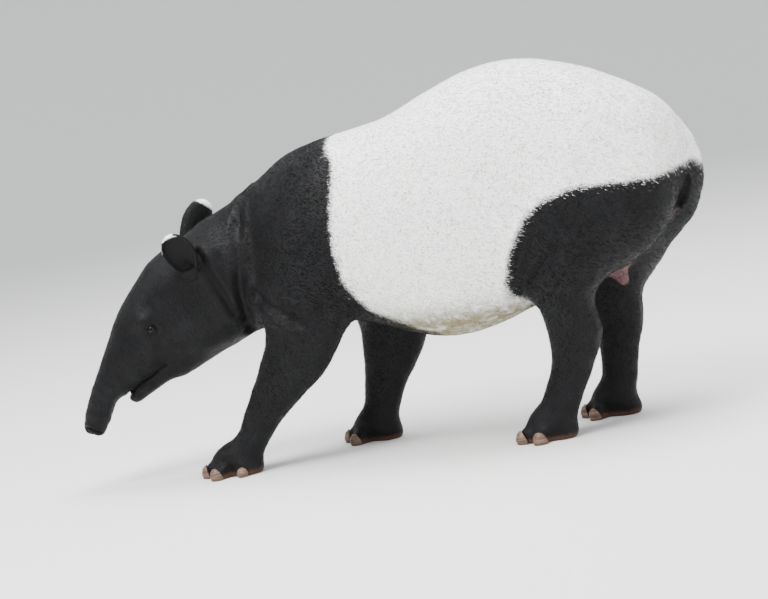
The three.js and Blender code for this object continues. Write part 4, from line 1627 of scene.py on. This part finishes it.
@dataclass
class Studio:
    """A pale round floor that curves up at its rim, soft lights and the camera."""

    head: HeadFrame
    azimuth: float = 14.0
    elevation: float = 7.0
    roll: float = 9.0
    lens: float = 103.125
    sensor: float = 36.0
    distance: float = 5.87
    aim_in_body: tuple[float, float, float] = (0.30, -0.12, 0.0)
    aim_pixel: tuple[float, float] = (548.0, 438.0)
    picture: tuple[int, int] = (768, 599)
    floor_radius: float = 14.0
    flat_share: float = 0.62
    rim_height: float = 6.0
    rim_steps: int = 12
    lit_place: tuple[float, float, float] = (0.0, 0.0, 0.5)
    air_colour: tuple[float, float, float, float] = (0.93, 0.96, 1.0, 1.0)
    air_strength: float = 0.85
    lamps: tuple[Lamp, ...] = (
        Lamp("key", (-1.8, -3.4, 4.6), 3.0, 560.0),
        Lamp("top", (0.6, 0.4, 5.5), 4.0, 640.0),
        Lamp("fill", (4.0, -3.0, 2.5), 3.0, 120.0),
    )

    def floor(self) -> None:
        """Spins the floor's profile into a wide shallow dish."""
        flat = self.flat_share
        profile = [(0.0, 0.0, 0.0)]
        for k in range(self.rim_steps + 1):
            turn = math.radians(90 * k / self.rim_steps)
            reach = self.floor_radius * (flat + (1 - flat) * math.sin(turn))
            profile.append((reach, 0.0, self.rim_height * (1 - math.cos(turn))))
        mesh = bpy.data.meshes.new("floor")
        mesh.from_pydata(profile, [(k, k + 1) for k in range(len(profile) - 1)], [])
        floor = new_object("floor", mesh)
        only(floor)
        bpy.ops.object.mode_set(mode="EDIT")
        bpy.ops.mesh.select_all(action="SELECT")
        bpy.ops.mesh.spin(
            steps=96, angle=2 * math.pi, center=(0, 0, 0), axis=(0, 0, 1), use_auto_merge=True
        )
        bpy.ops.mesh.select_all(action="SELECT")
        bpy.ops.mesh.remove_doubles(threshold=1e-4)
        bpy.ops.mesh.normals_make_consistent(inside=True)
        bpy.ops.object.mode_set(mode="OBJECT")
        bpy.ops.object.shade_smooth()
        floor.data.materials.append(StudioFinish().build())

    def hang(self, lamp: Lamp) -> None:
        """Hangs a lamp so that it faces the animal."""
        data = bpy.data.lights.new(lamp.name, "AREA")
        data.shape = "SQUARE"
        data.size = lamp.width
        data.energy = lamp.power
        light = new_object(lamp.name, data)
        light.location = lamp.place
        way = Vector(self.lit_place) - Vector(lamp.place)
        light.rotation_euler = way.to_track_quat("-Z", "Y").to_euler()

    def lights(self) -> None:
        """Hangs the lamps and sets the soft light all round."""
        for lamp in self.lamps:
            self.hang(lamp)
        world = bpy.data.worlds.new("studio")
        bpy.context.scene.world = world
        world.use_nodes = True
        back = world.node_tree.nodes["Background"]
        back.inputs["Color"].default_value = self.air_colour
        back.inputs["Strength"].default_value = self.air_strength

    def camera(self) -> None:
        """Sets the camera at the photo's angle and framing."""
        azimuth, roll = math.radians(self.azimuth), math.radians(self.roll)
        rise = math.radians(self.elevation)
        level_right = Vector((math.cos(azimuth), math.sin(azimuth), 0))
        level_back = Vector((math.sin(azimuth), -math.cos(azimuth), 0))
        back = level_back * math.cos(rise) + Vector((0, 0, math.sin(rise)))
        level_up = back.cross(level_right)
        right = level_right * math.cos(roll) - level_up * math.sin(roll)
        up = level_up * math.cos(roll) + level_right * math.sin(roll)
        focal = self.lens / self.sensor * self.picture[0]
        u = (self.aim_pixel[0] - self.picture[0] / 2) / focal
        v = (self.picture[1] / 2 - self.aim_pixel[1]) / focal
        aim = Vector(self.aim_in_body) + Vector(self.head.body_shift)
        place = aim - self.distance * (-back + u * right + v * up)
        data = bpy.data.cameras.new("camera")
        data.lens = self.lens
        data.sensor_width = self.sensor
        data.clip_end = 100
        camera = new_object("camera", data)
        turn = Matrix((right, up, back)).transposed().to_4x4()
        camera.matrix_world = Matrix.Translation(place) @ turn
        bpy.context.scene.camera = camera

    def build(self) -> None:
        """Makes the floor, the lights and the camera."""
        self.floor()
        self.lights()
        self.camera()


def main() -> None:
    """Builds the model piece by piece and reports each one."""
    logging.basicConfig(level=logging.INFO, format="%(name)s: %(message)s")
    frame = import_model()
    head = HeadFrame()
    hide = Hide(frame, head, Markings(head)).build()
    LOG.info("%s: %d triangles", hide.name, len(hide.data.polygons))
    for fur in Coat(hide, FurFinish("fur_tufts_short_satin", False).build()).build():
        LOG.info("%s: %d triangles", fur.name, len(fur.data.polygons))
    resin = EyeFinish().build()
    for side, sign in SIDES.items():
        eye = Eyeball(side, head.eye_way(sign)).build(resin)
        LOG.info("%s: %d faces", eye.name, len(eye.data.polygons))
    horn = HornFinish().build()
    for leg, toes in FEET.items():
        hooves = Hooves(frame, leg, toes).build(horn)
        LOG.info("%s: %d faces", hooves.name, len(hooves.data.polygons))
    Studio(head).build()


if __name__ == "__main__":
    main()
